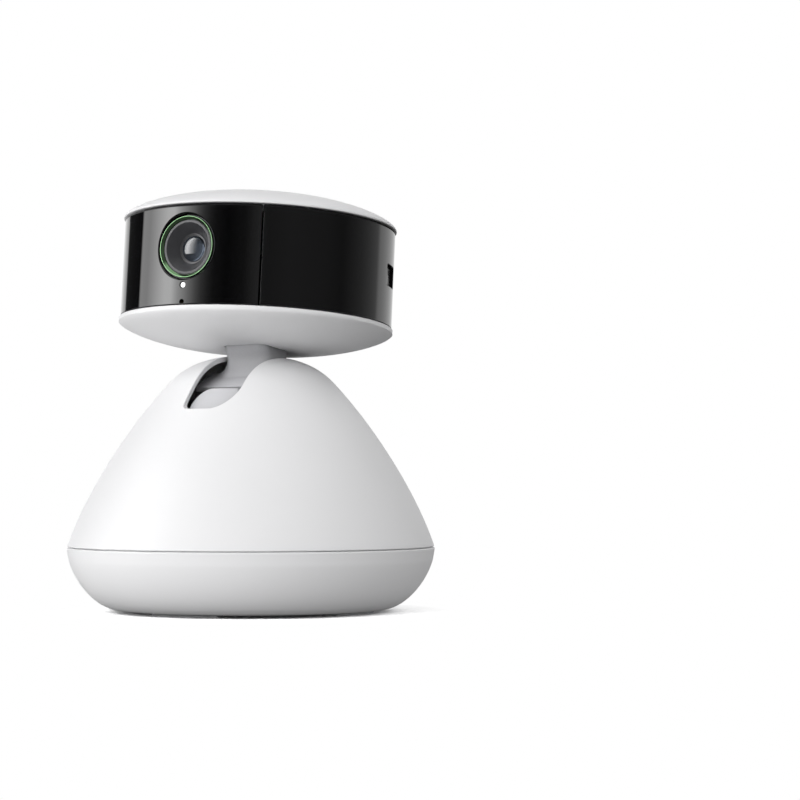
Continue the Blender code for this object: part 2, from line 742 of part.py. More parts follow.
def make_turntable():
    """The disc that carries the cone, the pan motor and the tilt brackets."""
    bore = POST_RADIUS + RUNNING
    table = turned("turntable", [
        (HUB_RADIUS, HUB_TOP), (HUB_RADIUS, TURNTABLE_TOP), (TURNTABLE_RADIUS, TURNTABLE_TOP),
        (TURNTABLE_RADIUS, TURNTABLE_FOOT), (bore, TURNTABLE_FOOT), (bore, HUB_TOP)], SHELL_FACETS)
    low = TURNTABLE_FOOT - OVERRUN
    high = HUB_TOP + OVERRUN
    for index in range(3):
        azimuth = math.tau * (index + 0.5) / 3
        place = polar(TABLE_SCREW_RING_RADIUS, azimuth)
        drill(table, f"table_hole_{index + 1}", SCREW_HOLE, low, high, place)
        screw(f"turntable_screw_{index + 1}", place, TURNTABLE_FOOT - GAP, TABLE_SCREW_LENGTH)
    drill(table, "pan_shaft_hole", MOTOR_SHAFT_RADIUS + RUNNING, low, high, (0, PAN_CENTRES))
    for index, side in enumerate((-1, 1)):
        drill(table, f"pan_ear_hole_{index + 1}", SCREW_HOLE, low, high,
              (side * ear_reach(PAN_MOTOR_RADIUS), PAN_CENTRES))
    return finish(table, (0.22, 0.22, 0.23), 0.55)


def make_cone_shell():
    """The cone, with its slot and the three posts that the turntable is screwed to."""
    outer = cone_outline()
    inner = inset_profile(outer, CONE_WALL)
    inner = thinned([(inner[0][0], CONE_FOOT)] + inner[1:-1] + [(0, CONE_TOP - CONE_WALL)])
    shell = turned("cone_shell", outer[::-1] + inner, SHELL_FACETS)
    foot = TURNTABLE_TOP + GAP
    for index in range(3):
        place = polar(TABLE_SCREW_RING_RADIUS, math.tau * (index + 0.5) / 3)
        post = prism(f"cone_post_{index + 1}", circle_outline(BOSS_RADIUS, SMALL_FACETS, place),
                     foot, foot + BOSS_HEIGHT, "Z")
        combine(shell, post, "UNION")
        drill(shell, f"cone_post_hole_{index + 1}", SCREW_HOLE, foot - OVERRUN,
              TURNTABLE_FOOT - GAP + TABLE_SCREW_LENGTH + GAP, place)
    above = CONE_TOP + OVERRUN
    slot = rounded_outline([(SLOT_LEFT, SLOT_FLOOR, SLOT_SMALL_FILLET),
                            (SLOT_RIGHT, SLOT_FLOOR, SLOT_FILLET),
                            (SLOT_RIGHT, above, 0), (SLOT_LEFT, above, 0)])
    plan = rounded_outline([(SLOT_LEFT - OVERRUN, -CONE_FOOT_RADIUS, 0),
                            (SLOT_RIGHT + OVERRUN, -CONE_FOOT_RADIUS, 0),
                            (SLOT_RIGHT + OVERRUN, 0, 0), (SLOT_RIGHT, 0, 0),
                            (SLOT_RIGHT, SLOT_REAR, SLOT_REAR_FILLET),
                            (SLOT_LEFT, SLOT_REAR, SLOT_REAR_FILLET),
                            (SLOT_LEFT, 0, 0), (SLOT_LEFT - OVERRUN, 0, 0)])
    cutter = prism("slot_cutter", slot, OVERRUN - CONE_FOOT_RADIUS, SLOT_REAR + OVERRUN, "Y")
    combine(cutter, prism("slot_plan", plan, SLOT_FLOOR - OVERRUN, above + OVERRUN, "Z"),
            "INTERSECT")
    combine(shell, cutter)
    return finish(shell, WHITE, 0.42)


def make_slot_tongue():
    """The curved tongue behind the slot's lower end, a strip that follows the cone's inner face."""
    outer = [point for point in inset_profile(cone_outline(), CONE_WALL + GAP)
             if point[1] > TONGUE_FOOT - SLOT_FILLET]
    inner = [point for point in inset_profile(cone_outline(), CONE_WALL + GAP + TONGUE_WALL)
             if point[1] > TONGUE_FOOT - SLOT_FILLET]
    outer = [point for point in outer if point[0] > SLOT_RIGHT]
    inner = [point for point in inner if point[0] > SLOT_RIGHT]
    strip = turned_part("slot_tongue", outer + inner[::-1], math.radians(-30), math.radians(40), 14)
    outline = rounded_outline([(TONGUE_LEFT, TONGUE_FOOT, 0), (TONGUE_RIGHT, TONGUE_FOOT, 0),
                               (TONGUE_RIGHT, TONGUE_TOP, TONGUE_RIGHT_FILLET),
                               (TONGUE_LEFT, TONGUE_TOP, TONGUE_LEFT_FILLET)], 5)
    combine(strip, prism("tongue_outline", outline, -CONE_FOOT_RADIUS, 0, "Y"), "INTERSECT")
    return finish(strip, (0.80, 0.80, 0.81), 0.45)


def ear_reach(motor_radius):
    """How far a motor's screw holes lie from its axis."""
    return motor_radius + MOTOR_EAR_CLEARANCE


def make_motor(name, radius, length, parent=None):
    """A small geared motor standing on Z, with two ears and a bore for its pinion's shaft."""
    can = turned(name, [(0, length), (radius, length), (radius, 0), (0, 0)], ROUND_FACETS, parent)
    reach = ear_reach(radius)
    bar = rectangle_outline(2 * reach, 2 * MOTOR_EAR_RADIUS)
    ears = prism(f"{name}_ears", bar, 0, MOTOR_EAR_THICKNESS, "Z", can)
    combine(can, ears, "UNION")
    for index, side in enumerate((-1, 1)):
        place = (side * reach, 0)
        end = prism(f"{name}_ear_{index + 1}", circle_outline(MOTOR_EAR_RADIUS, SMALL_FACETS, place),
                    0, MOTOR_EAR_THICKNESS, "Z", can)
        combine(can, end, "UNION")
        drill(can, f"{name}_hole_{index + 1}", SCREW_HOLE, -OVERRUN, MOTOR_EAR_THICKNESS + OVERRUN,
              place, parent=can)
    drill(can, f"{name}_bore", MOTOR_SHAFT_RADIUS + RUNNING, -OVERRUN, MOTOR_SHAFT_DEPTH, (0, 0),
          parent=can)
    return finish(can, (0.62, 0.63, 0.64), 0.35, 1.0)


def make_pan_drive():
    """The pan motor on the turntable and the pinion that walks round the sun gear."""
    motor = make_motor("pan_motor", PAN_MOTOR_RADIUS, PAN_MOTOR_LENGTH)
    motor.location = (0, PAN_CENTRES, TURNTABLE_TOP + GAP)
    seat = TURNTABLE_TOP + GAP + MOTOR_EAR_THICKNESS + GAP
    for index, side in enumerate((-1, 1)):
        place = (side * ear_reach(PAN_MOTOR_RADIUS), PAN_CENTRES)
        screw(f"pan_motor_screw_{index + 1}", place, seat, MOTOR_SCREW_LENGTH, -1)

    phase = -math.pi / 2 + math.pi / PINION_TEETH
    low = SUN_FOOT - PINION_FACE_OVER
    high = SUN_FOOT + SUN_FACE + PINION_FACE_OVER
    pinion = prism("pan_pinion", gear_outline(PINION_TEETH, phase), 0, high - low, "Z")
    pinion.location = (0, PAN_CENTRES, low)
    shaft_top = TURNTABLE_TOP + MOTOR_SHAFT_DEPTH - low
    shaft = prism("pan_shaft", circle_outline(MOTOR_SHAFT_RADIUS, SMALL_FACETS),
                  PINION_FACE_OVER, shaft_top, "Z", pinion)
    combine(pinion, shaft, "UNION")
    finish(pinion, (0.80, 0.79, 0.74), 0.5)


def tilt_motor_place():
    """Where the tilt pinion's axis crosses the plane through the pan axis, as (y, z)."""
    return (TILT_CENTRES * math.cos(TILT_CONTACT_ANGLE),
            PIVOT_HEIGHT + TILT_CENTRES * math.sin(TILT_CONTACT_ANGLE))


def bracket_faces():
    """Inner faces of the left and right brackets."""
    reach = NECK_HUB_HALF + RUNNING
    return NECK_MIDDLE - reach, NECK_MIDDLE + reach


def make_brackets():
    """Two upright brackets that hold the tilt axle; the left one also holds the tilt motor."""
    foot = TURNTABLE_TOP + GAP
    motor_y, motor_z = tilt_motor_place()
    left, right = bracket_faces()
    top = PIVOT_HEIGHT + BRACKET_ABOVE_AXLE
    reach = ear_reach(TILT_MOTOR_RADIUS) + MOTOR_EAR_RADIUS
    plain = rounded_outline([(-BRACKET_HALF_WIDTH, foot, 0), (BRACKET_HALF_WIDTH, foot, 0),
                             (BRACKET_HALF_WIDTH, top, BRACKET_ABOVE_AXLE),
                             (-BRACKET_HALF_WIDTH, top, BRACKET_ABOVE_AXLE)])
    long = rounded_outline([(motor_y, foot, 0), (BRACKET_HALF_WIDTH, foot, 0),
                            (BRACKET_HALF_WIDTH, top, BRACKET_ABOVE_AXLE),
                            (motor_y + MOTOR_EAR_RADIUS, motor_z + reach, MOTOR_EAR_RADIUS),
                            (motor_y - MOTOR_EAR_RADIUS, motor_z + reach, MOTOR_EAR_RADIUS),
                            (motor_y - MOTOR_EAR_RADIUS, motor_z - reach, MOTOR_EAR_RADIUS)])
    shapes = (("left_bracket", long, left, -1), ("right_bracket", plain, right, 1))
    for name, outline, face, side in shapes:
        outside = face + side * BRACKET_THICKNESS
        bracket = prism(name, outline, min(face, outside), max(face, outside), "X")
        edge = outside + side * BRACKET_FOOT_LENGTH
        flange = rectangle_outline(abs(edge - face), 2 * BRACKET_HALF_WIDTH, ((edge + face) / 2, 0))
        combine(bracket, prism(f"{name}_foot", flange, foot, foot + BRACKET_FOOT_THICKNESS, "Z"),
                "UNION")
        drill(bracket, f"{name}_bush_hole", AXLE_RADIUS + GAP + BUSH_WALL + GAP,
              min(face, outside) - OVERRUN, max(face, outside) + OVERRUN, (0, PIVOT_HEIGHT), "X",
              ROUND_FACETS)
        finish(bracket, (0.30, 0.30, 0.31), 0.5)
    return bpy.data.objects["left_bracket"]


def make_tilt_axle():
    """The steel axle and the bush at each of its ends."""
    left, right = bracket_faces()
    outer_left = left - BRACKET_THICKNESS
    outer_right = right + BRACKET_THICKNESS
    axle = prism("tilt_axle", circle_outline(AXLE_RADIUS, ROUND_FACETS, (0, PIVOT_HEIGHT)),
                 outer_left - AXLE_OVERHANG, outer_right + AXLE_OVERHANG, "X")
    finish(axle, (0.68, 0.69, 0.70), 0.25, 1.0)
    for name, low, high in (("left_bush", outer_left, left), ("right_bush", right, outer_right)):
        ring = circle_outline(AXLE_RADIUS + GAP + BUSH_WALL, ROUND_FACETS, (0, PIVOT_HEIGHT))
        bush = prism(name, ring, low, high, "X")
        drill(bush, f"{name}_bore", AXLE_RADIUS + GAP, low - OVERRUN, high + OVERRUN,
              (0, PIVOT_HEIGHT), "X", ROUND_FACETS)
        finish(bush, (0.72, 0.56, 0.28), 0.35, 1.0)


def make_tilt_drive(left_bracket):
    """The tilt motor on the left bracket and its pinion."""
    motor_y, motor_z = tilt_motor_place()
    left, _ = bracket_faces()
    outside = left - BRACKET_THICKNESS
    motor = make_motor("tilt_motor", TILT_MOTOR_RADIUS, TILT_MOTOR_LENGTH)
    motor.location = (outside - GAP, motor_y, motor_z)
    motor.rotation_euler = (0, -math.pi / 2, 0)
    drill(left_bracket, "tilt_shaft_hole", MOTOR_SHAFT_RADIUS + RUNNING, outside - OVERRUN,
          left + OVERRUN, (motor_y, motor_z), "X")
    for index, side in enumerate((-1, 1)):
        place = (motor_y, motor_z + side * ear_reach(TILT_MOTOR_RADIUS))
        drill(left_bracket, f"tilt_ear_hole_{index + 1}", SCREW_HOLE, outside - OVERRUN,
              left + OVERRUN, place, "X")

    phase = TILT_CONTACT_ANGLE - math.pi + math.pi / PINION_TEETH
    gear_left = tilt_gear_left()
    low = gear_left - PINION_FACE_OVER
    high = gear_left + TILT_GEAR_FACE + PINION_FACE_OVER
    pinion = prism("tilt_pinion", gear_outline(PINION_TEETH, phase), low, high, "X")
    pinion.location = (0, motor_y, motor_z)
    shaft = prism("tilt_shaft", circle_outline(MOTOR_SHAFT_RADIUS, SMALL_FACETS),
                  outside - MOTOR_SHAFT_DEPTH, high - PINION_FACE_OVER, "X", pinion)
    combine(pinion, shaft, "UNION")
    finish(pinion, (0.80, 0.79, 0.74), 0.5)


def tilt_gear_left():
    """Left face of the tilt gear, just inside the left bracket."""
    return bracket_faces()[0] + RUNNING + TILT_GEAR_INSET


def make_control_board():
    """A small board standing on the right bracket's foot, inside the cone."""
    thickness, length, height = CONTROL_BOARD
    foot = TURNTABLE_TOP + GAP + BRACKET_FOOT_THICKNESS + GAP
    outline = rectangle_outline(length, height, (0, foot + height / 2))
    board = prism("control_board", outline, CONTROL_BOARD_X, CONTROL_BOARD_X + thickness, "X")
    return finish(board, (0.05, 0.22, 0.12), 0.5)


def flange_outline(middle):
    """Outline of the neck's flange and of the pad under it, about a middle along Y."""
    return rounded_rectangle(NECK_WIDTH + 2 * NECK_FLANGE_OVER,
                             NECK_FRONT + NECK_BACK + 2 * NECK_FLANGE_OVER, NECK_FLANGE_OVER,
                             (NECK_MIDDLE, middle))


def neck_side(inset, top):
    """Side view of the neck as (y, z), with its front and back moved in by an inset.

    The front ends in a ledge that clears the tongue, and a throat under the ledge runs down
    into a curve that meets the shield's round face.
    """
    shield = shield_radius()

    def on_shield(angle):
        return Vector((-shield * math.sin(angle), shield * math.cos(angle)))

    blend_angle = shield_angle(NECK_THROAT + NECK_BLEND_REACH)
    front_angle = shield_angle(SHIELD_FRONT_REACH)
    blend_foot = on_shield(blend_angle)
    run = (blend_foot.x + NECK_THROAT) / math.cos(blend_angle)
    corner = Vector((-NECK_THROAT, blend_foot.y - run * math.sin(blend_angle)))
    blend_top = Vector((-NECK_THROAT, shield + NECK_BLEND_RISE))
    ledge = shield + NECK_LEDGE
    front = [(-NECK_FRONT, top), (-NECK_FRONT, ledge), (-NECK_THROAT, ledge)]
    for step in range(5):
        t = step / 4
        point = blend_top * (1 - t) ** 2 + corner * 2 * t * (1 - t) + blend_foot * t * t
        front.append(tuple(point))
    for step in (1, 2):
        front.append(tuple(on_shield(blend_angle + (front_angle - blend_angle) * step / 2)))
    foot = on_shield(front_angle)
    under = [(foot.x + NECK_LIP, foot.y - NECK_LIP), (-NECK_THROAT, foot.y - 2 * NECK_LIP),
             (-NECK_HUB_RADIUS, 0), (NECK_HUB_RADIUS, 0)]
    back = [(NECK_BACK - inset, 2 * NECK_HUB_RADIUS), (NECK_BACK - inset, top)]
    return inset_profile(front, inset) + under + back


def make_neck(tilt_frame):
    """The neck in the tilting frame: a bar with a hub for the axle and a flange inside the head."""
    top = HEAD_RISE + NECK_PAD_TOP + GAP + NECK_FLANGE_THICKNESS
    sections = []
    for side, edge in ((1, NECK_LEFT), (-1, NECK_RIGHT)):
        steps = (0, 1, 2, 3) if side == 1 else (3, 2, 1, 0)
        for step in steps:
            angle = math.pi / 2 * step / 3
            x = edge + side * NECK_EDGE * (1 - math.cos(angle))
            outline = neck_side(NECK_EDGE * (1 - math.sin(angle)), top)
            sections.append([(x, y, z) for y, z in outline])
    neck = lofted("neck", sections, tilt_frame)
    hub = prism("neck_hub", circle_outline(NECK_HUB_RADIUS), NECK_MIDDLE - NECK_HUB_HALF,
                NECK_MIDDLE + NECK_HUB_HALF, "X", tilt_frame)
    combine(neck, hub, "UNION")
    middle = (NECK_BACK - NECK_FRONT) / 2
    flange = flange_outline(middle)
    combine(neck, prism("neck_flange", flange, top - NECK_FLANGE_THICKNESS, top, "Z", tilt_frame),
            "UNION")
    drill(neck, "neck_bore", AXLE_RADIUS + GAP, NECK_MIDDLE - NECK_HUB_HALF - OVERRUN,
          NECK_MIDDLE + NECK_HUB_HALF + OVERRUN, (0, 0), "X", ROUND_FACETS, tilt_frame)
    for index, side in enumerate((-1, 1)):
        place = (NECK_MIDDLE + side * (NECK_WIDTH + NECK_FLANGE_OVER) / 2, middle)
        drill(neck, f"flange_hole_{index + 1}", SCREW_HOLE, top - NECK_FLANGE_THICKNESS - OVERRUN,
              top + OVERRUN, place, parent=tilt_frame)
        screw(f"neck_screw_{index + 1}", place, top + GAP, NECK_SCREW_LENGTH, -1, tilt_frame)
    return finish(neck, WHITE, 0.45)


def make_slot_shield(tilt_frame):
    """A curved shield round the tilt axis that closes the slot beside and behind the neck."""
    outline = []
    steps = 14
    front_angle = shield_angle(SHIELD_FRONT_REACH)
    for radius, order in ((shield_radius(), 1), (shield_radius() - SHIELD_WALL, -1)):
        arc = []
        for step in range(steps + 1):
            angle = front_angle - (front_angle + SHIELD_REAR_ANGLE) * step / steps
            arc.append((-radius * math.sin(angle), radius * math.cos(angle)))
        outline += arc[::order]
    shield = prism("slot_shield", outline, SHIELD_LEFT, SHIELD_RIGHT, "X", tilt_frame)
    width = NECK_WIDTH + 2 * GAP
    length = shield_radius() + OVERRUN
    notch = rectangle_outline(width, length + NECK_BACK + GAP,
                              (NECK_MIDDLE, (NECK_BACK + GAP - length) / 2))
    combine(shield, prism("neck_notch", notch, 0, length, "Z", tilt_frame))
    return finish(shield, (0.80, 0.80, 0.81), 0.45)


def make_tilt_gear(tilt_frame):
    """A toothed sector round the neck's hub."""
    ring = NECK_HUB_RADIUS + GAP + TILT_GEAR_RING
    phase = TILT_CONTACT_ANGLE + REST_LEAN
    outline = gear_outline(TILT_TEETH, phase, TILT_GEAR_FIRST_TOOTH, TILT_GEAR_LAST_TOOTH)
    pitch_angle = math.tau / TILT_TEETH
    start = phase + pitch_angle * (TILT_GEAR_LAST_TOOTH + 1)
    end = phase + pitch_angle * (TILT_GEAR_FIRST_TOOTH - 1) + math.tau
    for step in range(11):
        angle = start + (end - start) * step / 10
        outline.append((ring * math.cos(angle), ring * math.sin(angle)))
    low = tilt_gear_left()
    gear = prism("tilt_gear", outline, low, low + TILT_GEAR_FACE, "X", tilt_frame)
    drill(gear, "tilt_gear_bore", NECK_HUB_RADIUS + GAP, low - OVERRUN,
          low + TILT_GEAR_FACE + OVERRUN, (0, 0), "X", ROUND_FACETS, tilt_frame)
    return finish(gear, (0.80, 0.79, 0.74), 0.5)


def make_head_underside(head_frame):
    """The dished cover under the head, with a hole for the neck and three posts for the board."""
    radii = dome_radii(DISH_RADIUS)
    outer = [(radius, dish_height(radius)) for radius in radii]
    rim = [(RIM_RADIUS, RIM_FOOT), (RIM_RADIUS, RIM_TOP)]
    inside = BAND_RADIUS - BAND_WALL - GAP - DISH_WALL
    inner = [(radius * inside / DISH_RADIUS, dish_height(radius) + DISH_WALL)
             for radius in thinned(radii[:-1])]
    wall = [(inside, RIM_TOP)]
    profile = outer + rim + wall + inner[::-1]
    cover = turned("head_underside", profile, SHELL_FACETS, head_frame)
    middle = (NECK_BACK - NECK_FRONT) / 2 - HEAD_BACK_SET
    pad = prism("neck_pad", flange_outline(middle), DISH_BOTTOM + DISH_WALL, NECK_PAD_TOP, "Z",
                head_frame)
    combine(cover, pad, "UNION")
    hole = rounded_rectangle(NECK_WIDTH + 2 * GAP, NECK_FRONT + NECK_BACK + 2 * GAP,
                             NECK_EDGE + GAP, (NECK_MIDDLE, middle))
    combine(cover, prism("underside_hole", hole, DISH_BOTTOM - OVERRUN, RIM_TOP, "Z", head_frame))
    post_foot = dish_height(BOARD_BOSS_RING_RADIUS + BOARD_BOSS_RADIUS) + DISH_WALL / 2
    post_top = HEAD_BOARD_HEIGHT - GAP
    for index, azimuth in enumerate(BOARD_BOSS_AZIMUTHS):
        place = polar(BOARD_BOSS_RING_RADIUS, azimuth)
        outline = circle_outline(BOARD_BOSS_RADIUS, SMALL_FACETS, place)
        post = prism(f"board_post_{index + 1}", outline, post_foot, post_top, "Z", head_frame)
        combine(cover, post, "UNION")
    floor = NECK_PAD_TOP + GAP + NECK_FLANGE_THICKNESS - NECK_SCREW_LENGTH
    for index, side in enumerate((-1, 1)):
        place = (NECK_MIDDLE + side * (NECK_WIDTH + NECK_FLANGE_OVER) / 2, middle)
        drill(cover, f"underside_screw_hole_{index + 1}", SCREW_HOLE, floor,
              NECK_PAD_TOP + OVERRUN, place, parent=head_frame)
    return finish(cover, WHITE, 0.45)


def band_profile():
    """Cross-section of the wall that the window and the rear band share."""
    inside = BAND_RADIUS - BAND_WALL
    return [(BAND_RADIUS, BAND_TOP), (BAND_RADIUS, BAND_BOTTOM), (inside, BAND_BOTTOM),
            (inside, BAND_TOP)]


def make_front_window(head_frame):
    """The glossy panel at the front, with holes for the lens, the light and the microphone."""
    window = turned_part("front_window", band_profile(), WINDOW_LEFT, WINDOW_RIGHT, 16, head_frame)
    front = -BAND_RADIUS - OVERRUN
    back = -BAND_RADIUS * math.cos(WINDOW_LEFT) + OVERRUN
    drill(window, "lens_hole", LENS_HOLE, front, back, (0, LENS_HEIGHT), "Y", 36, head_frame)
    drill(window, "light_hole", LIGHT_HOLE, front, back, (0, LIGHT_HEIGHT), "Y", parent=head_frame)
    drill(window, "mic_hole", MIC_HOLE, front, back, (0, MIC_HEIGHT), "Y", parent=head_frame)
    return finish(window, (0.012, 0.012, 0.013), 0.06)


def make_rear_band(head_frame):
    """The glossy band round the rest of the head, with the key's window and the speaker's slots."""
    seam = BAND_SEAM / BAND_RADIUS
    band = turned_part("rear_band", band_profile(), WINDOW_RIGHT + seam,
                       WINDOW_LEFT + math.tau - seam, 48, head_frame)
    opening = rounded_rectangle(KEY_WINDOW[0], KEY_WINDOW[1], KEY_CLEARANCE, (0, KEY_HEIGHT), 2)
    cutter = prism("key_window", opening, BAND_RADIUS - BAND_WALL - OVERRUN,
                   BAND_RADIUS + OVERRUN, "Y", head_frame)
    cutter.rotation_euler = (0, 0, KEY_AZIMUTH - math.pi)
    combine(band, cutter)
    width, height = SPEAKER_SLOT
    for index in range(SPEAKER_SLOTS):
        across = (index - (SPEAKER_SLOTS - 1) / 2) * SPEAKER_SLOT_PITCH
        outline = rectangle_outline(width, height, (across, SPEAKER_HEIGHT))
        cutter = prism(f"speaker_slot_{index + 1}", outline, BAND_RADIUS - BAND_WALL - OVERRUN,
                       BAND_RADIUS + OVERRUN, "Y", head_frame)
        combine(band, cutter)
    return finish(band, (0.014, 0.014, 0.015), 0.08)


def make_head_cap(head_frame):
    """The domed lid, with a spigot inside the band."""
    radii = dome_radii(CAP_RADIUS)
    outer = [(radius, cap_height(radius)) for radius in reversed(radii)]
    inside = CAP_SPIGOT_RADIUS - CAP_WALL
    inner = [(radius * inside / CAP_RADIUS, cap_height(radius) - CAP_WALL)
             for radius in thinned(radii[:-1])]
    foot = BAND_TOP - CAP_SPIGOT_DEPTH
    under = [(inside, foot), (CAP_SPIGOT_RADIUS, foot), (CAP_SPIGOT_RADIUS, CAP_LIP),
             (CAP_RADIUS, CAP_LIP)]
    cap = turned("head_cap", outer + inner + under, SHELL_FACETS, head_frame)
    return finish(cap, WHITE, 0.45)


def lens_frame(head_frame):
    """An empty at the window's face whose Z axis points out along the lens."""
    empty = bpy.data.objects.new("lens_frame", None)
    bpy.context.collection.objects.link(empty)
    empty.parent = head_frame
    empty.location = (0, -BAND_RADIUS, LENS_HEIGHT)
    empty.rotation_euler = (math.pi / 2, 0, 0)
    return empty


def make_lens(frame):
    """The barrel with its tinted ring, two lenses, the mount, the sensor and its board."""
    barrel = turned("lens_barrel", [
        (BARREL_RADIUS, -BARREL_FRONT), (BARREL_RADIUS, -BARREL_NECK),
        (BARREL_TAIL_RADIUS, -BARREL_NECK), (BARREL_TAIL_RADIUS, -BARREL_TAIL),
        (BARREL_BORE, -BARREL_TAIL), (BARREL_BORE, -FUNNEL_FOOT_DEPTH),
        (FUNNEL_STEP_RADIUS, -FUNNEL_STEP_DEPTH - FUNNEL_STEP),
        (FUNNEL_STEP_RADIUS, -FUNNEL_STEP_DEPTH),
        (RING_INNER, -RING_SEAT - FUNNEL_STEP), (RING_INNER, -RING_SEAT),
        (RING_OUTER + GAP, -RING_SEAT), (RING_OUTER + GAP, -BARREL_FRONT)], ROUND_FACETS, frame)
    finish(barrel, (0.03, 0.03, 0.03), 0.35)

    ring_back = RING_SEAT - GAP
    ring = turned("lens_ring", [
        (RING_OUTER, -ring_back + RING_THICKNESS), (RING_OUTER, -ring_back),
        (RING_INNER, -ring_back), (RING_INNER, -ring_back + RING_THICKNESS)], ROUND_FACETS, frame)
    finish(ring, (0.10, 0.22, 0.12), 0.2)

    dome = [(LENS_RADIUS * math.sin(math.pi / 2 * step / 4),
             -FRONT_LENS_FACE - FRONT_LENS_BULGE * (1 - math.cos(math.pi / 2 * step / 4)))
            for step in range(5)]
    front = turned("front_lens", dome + [(LENS_RADIUS, -FRONT_LENS_BACK), (0, -FRONT_LENS_BACK)],
                   ROUND_FACETS, frame)
    finish(front, (0.20, 0.22, 0.28), 0.03)

    rear = turned("rear_lens", [(0, -REAR_LENS_FACE), (LENS_RADIUS, -REAR_LENS_FACE),
                                (LENS_RADIUS, -REAR_LENS_BACK), (0, -REAR_LENS_BACK)],
                  ROUND_FACETS, frame)
    finish(rear, (0.20, 0.22, 0.28), 0.03)

    mount_back = SENSOR_BOARD_FACE - GAP
    bore = BARREL_TAIL_RADIUS + GAP
    mount = turned("lens_mount", [(MOUNT_RADIUS, -MOUNT_FRONT), (MOUNT_RADIUS, -mount_back),
                                  (bore, -mount_back), (bore, -MOUNT_FRONT)], ROUND_FACETS, frame)
    finish(mount, (0.05, 0.05, 0.05), 0.6)

    width, height, thickness = SENSOR_BOARD
    board = prism("sensor_board", rectangle_outline(width, height), -SENSOR_BOARD_FACE - thickness,
                  -SENSOR_BOARD_FACE, "Z", frame)
    finish(board, (0.05, 0.22, 0.12), 0.5)
    width, height, thickness = SENSOR_CHIP
    chip_back = SENSOR_BOARD_FACE - GAP
    chip = prism("image_sensor", rectangle_outline(width, height), -chip_back,
                 -chip_back + thickness, "Z", frame)
    finish(chip, (0.06, 0.06, 0.09), 0.2)


def make_infrared_boards(head_frame):
    """A board with two night-vision emitters on each side of the lens, behind the window."""
    width, height, thickness = INFRARED_BOARD
    for name, side in (("left", -1), ("right", 1)):
        board = prism(f"infrared_board_{name}", rectangle_outline(width, height, (0, LENS_HEIGHT)),
                      0, thickness, "Y", head_frame)
        place = polar(BAND_RADIUS - INFRARED_DEPTH, side * INFRARED_AZIMUTH)
        board.location = (place[0], place[1], 0)
        board.rotation_euler = (0, 0, side * INFRARED_AZIMUTH)
        for index, up in enumerate((-1, 1)):
            outline = circle_outline(EMITTER_RADIUS, SMALL_FACETS,
                                     (0, LENS_HEIGHT + up * EMITTER_SPREAD))
            emitter = prism(f"emitter_{name}_{index + 1}", outline, -EMITTER_LENGTH,
                            thickness / 2, "Y", board)
            combine(board, emitter, "UNION")
        finish(board, (0.04, 0.10, 0.08), 0.5)


def make_head_electronics(head_frame):
    """The head's board, the speaker, the microphone and the status light."""
    top = HEAD_BOARD_HEIGHT + HEAD_BOARD_THICKNESS
    start = math.acos(HEAD_BOARD_FRONT / HEAD_BOARD_RADIUS)
    outline = []
    for step in range(21):
        angle = start + (math.tau - 2 * start) * step / 20
        x, y = polar(HEAD_BOARD_RADIUS, angle)
        outline.append((x, y))
    board = prism("head_board", outline, HEAD_BOARD_HEIGHT, top, "Z", head_frame)
    finish(board, (0.05, 0.22, 0.12), 0.5)

    back = BAND_RADIUS - BAND_WALL - SPEAKER_INSET
    speaker = turned("speaker", [(0, SPEAKER_DEPTH), (SPEAKER_RADIUS, SPEAKER_DEPTH),
                                 (SPEAKER_RADIUS, 0), (0, 0)], ROUND_FACETS, head_frame)
    speaker.location = (0, back - SPEAKER_DEPTH, SPEAKER_HEIGHT)
    speaker.rotation_euler = (-math.pi / 2, 0, 0)
    finish(speaker, (0.08, 0.08, 0.08), 0.6)

    inside = BAND_RADIUS - BAND_WALL - GAP
    width, height, depth = MIC_BODY
    mic = prism("microphone", rectangle_outline(width, height, (0, MIC_HEIGHT)),
                -inside, -inside + depth, "Y", head_frame)
    finish(mic, (0.62, 0.55, 0.30), 0.35, 1.0)

    pipe = prism("status_light", circle_outline(LIGHT_PIPE_RADIUS, SMALL_FACETS, (0, LIGHT_HEIGHT)),
                 -BAND_RADIUS + GAP, -BAND_RADIUS + GAP + LIGHT_PIPE_LENGTH, "Y", head_frame)
    finish(pipe, (0.92, 0.94, 0.95), 0.2)


def make_side_key(head_frame):
    """The push key in the band's side window, with the switch behind it."""
    width = KEY_WINDOW[0] - 2 * KEY_CLEARANCE
    height = KEY_WINDOW[1] - 2 * KEY_CLEARANCE
    face = BAND_RADIUS - KEY_RECESS
    flange_back = BAND_RADIUS - KEY_FLANGE_FACE - KEY_FLANGE_THICKNESS
    key = prism("side_key", rounded_rectangle(width, height, KEY_CLEARANCE, (0, KEY_HEIGHT), 2),
                flange_back, face, "Y", head_frame)
    key.rotation_euler = (0, 0, KEY_AZIMUTH - math.pi)
    flange = rectangle_outline(KEY_WINDOW[0] + KEY_FLANGE, KEY_WINDOW[1] + KEY_FLANGE,
                               (0, KEY_HEIGHT))
    combine(key, prism("key_flange", flange, flange_back, flange_back + KEY_FLANGE_THICKNESS, "Y",
                       key), "UNION")
    finish(key, (0.16, 0.16, 0.17), 0.3)
    width, height, depth = KEY_SWITCH
    back = flange_back - KEY_TRAVEL - GAP
    switch = prism("key_switch", rectangle_outline(width, height, (0, KEY_HEIGHT)), back - depth,
                   back, "Y", head_frame)
    switch.rotation_euler = (0, 0, KEY_AZIMUTH - math.pi)
    finish(switch, (0.30, 0.30, 0.32), 0.5)


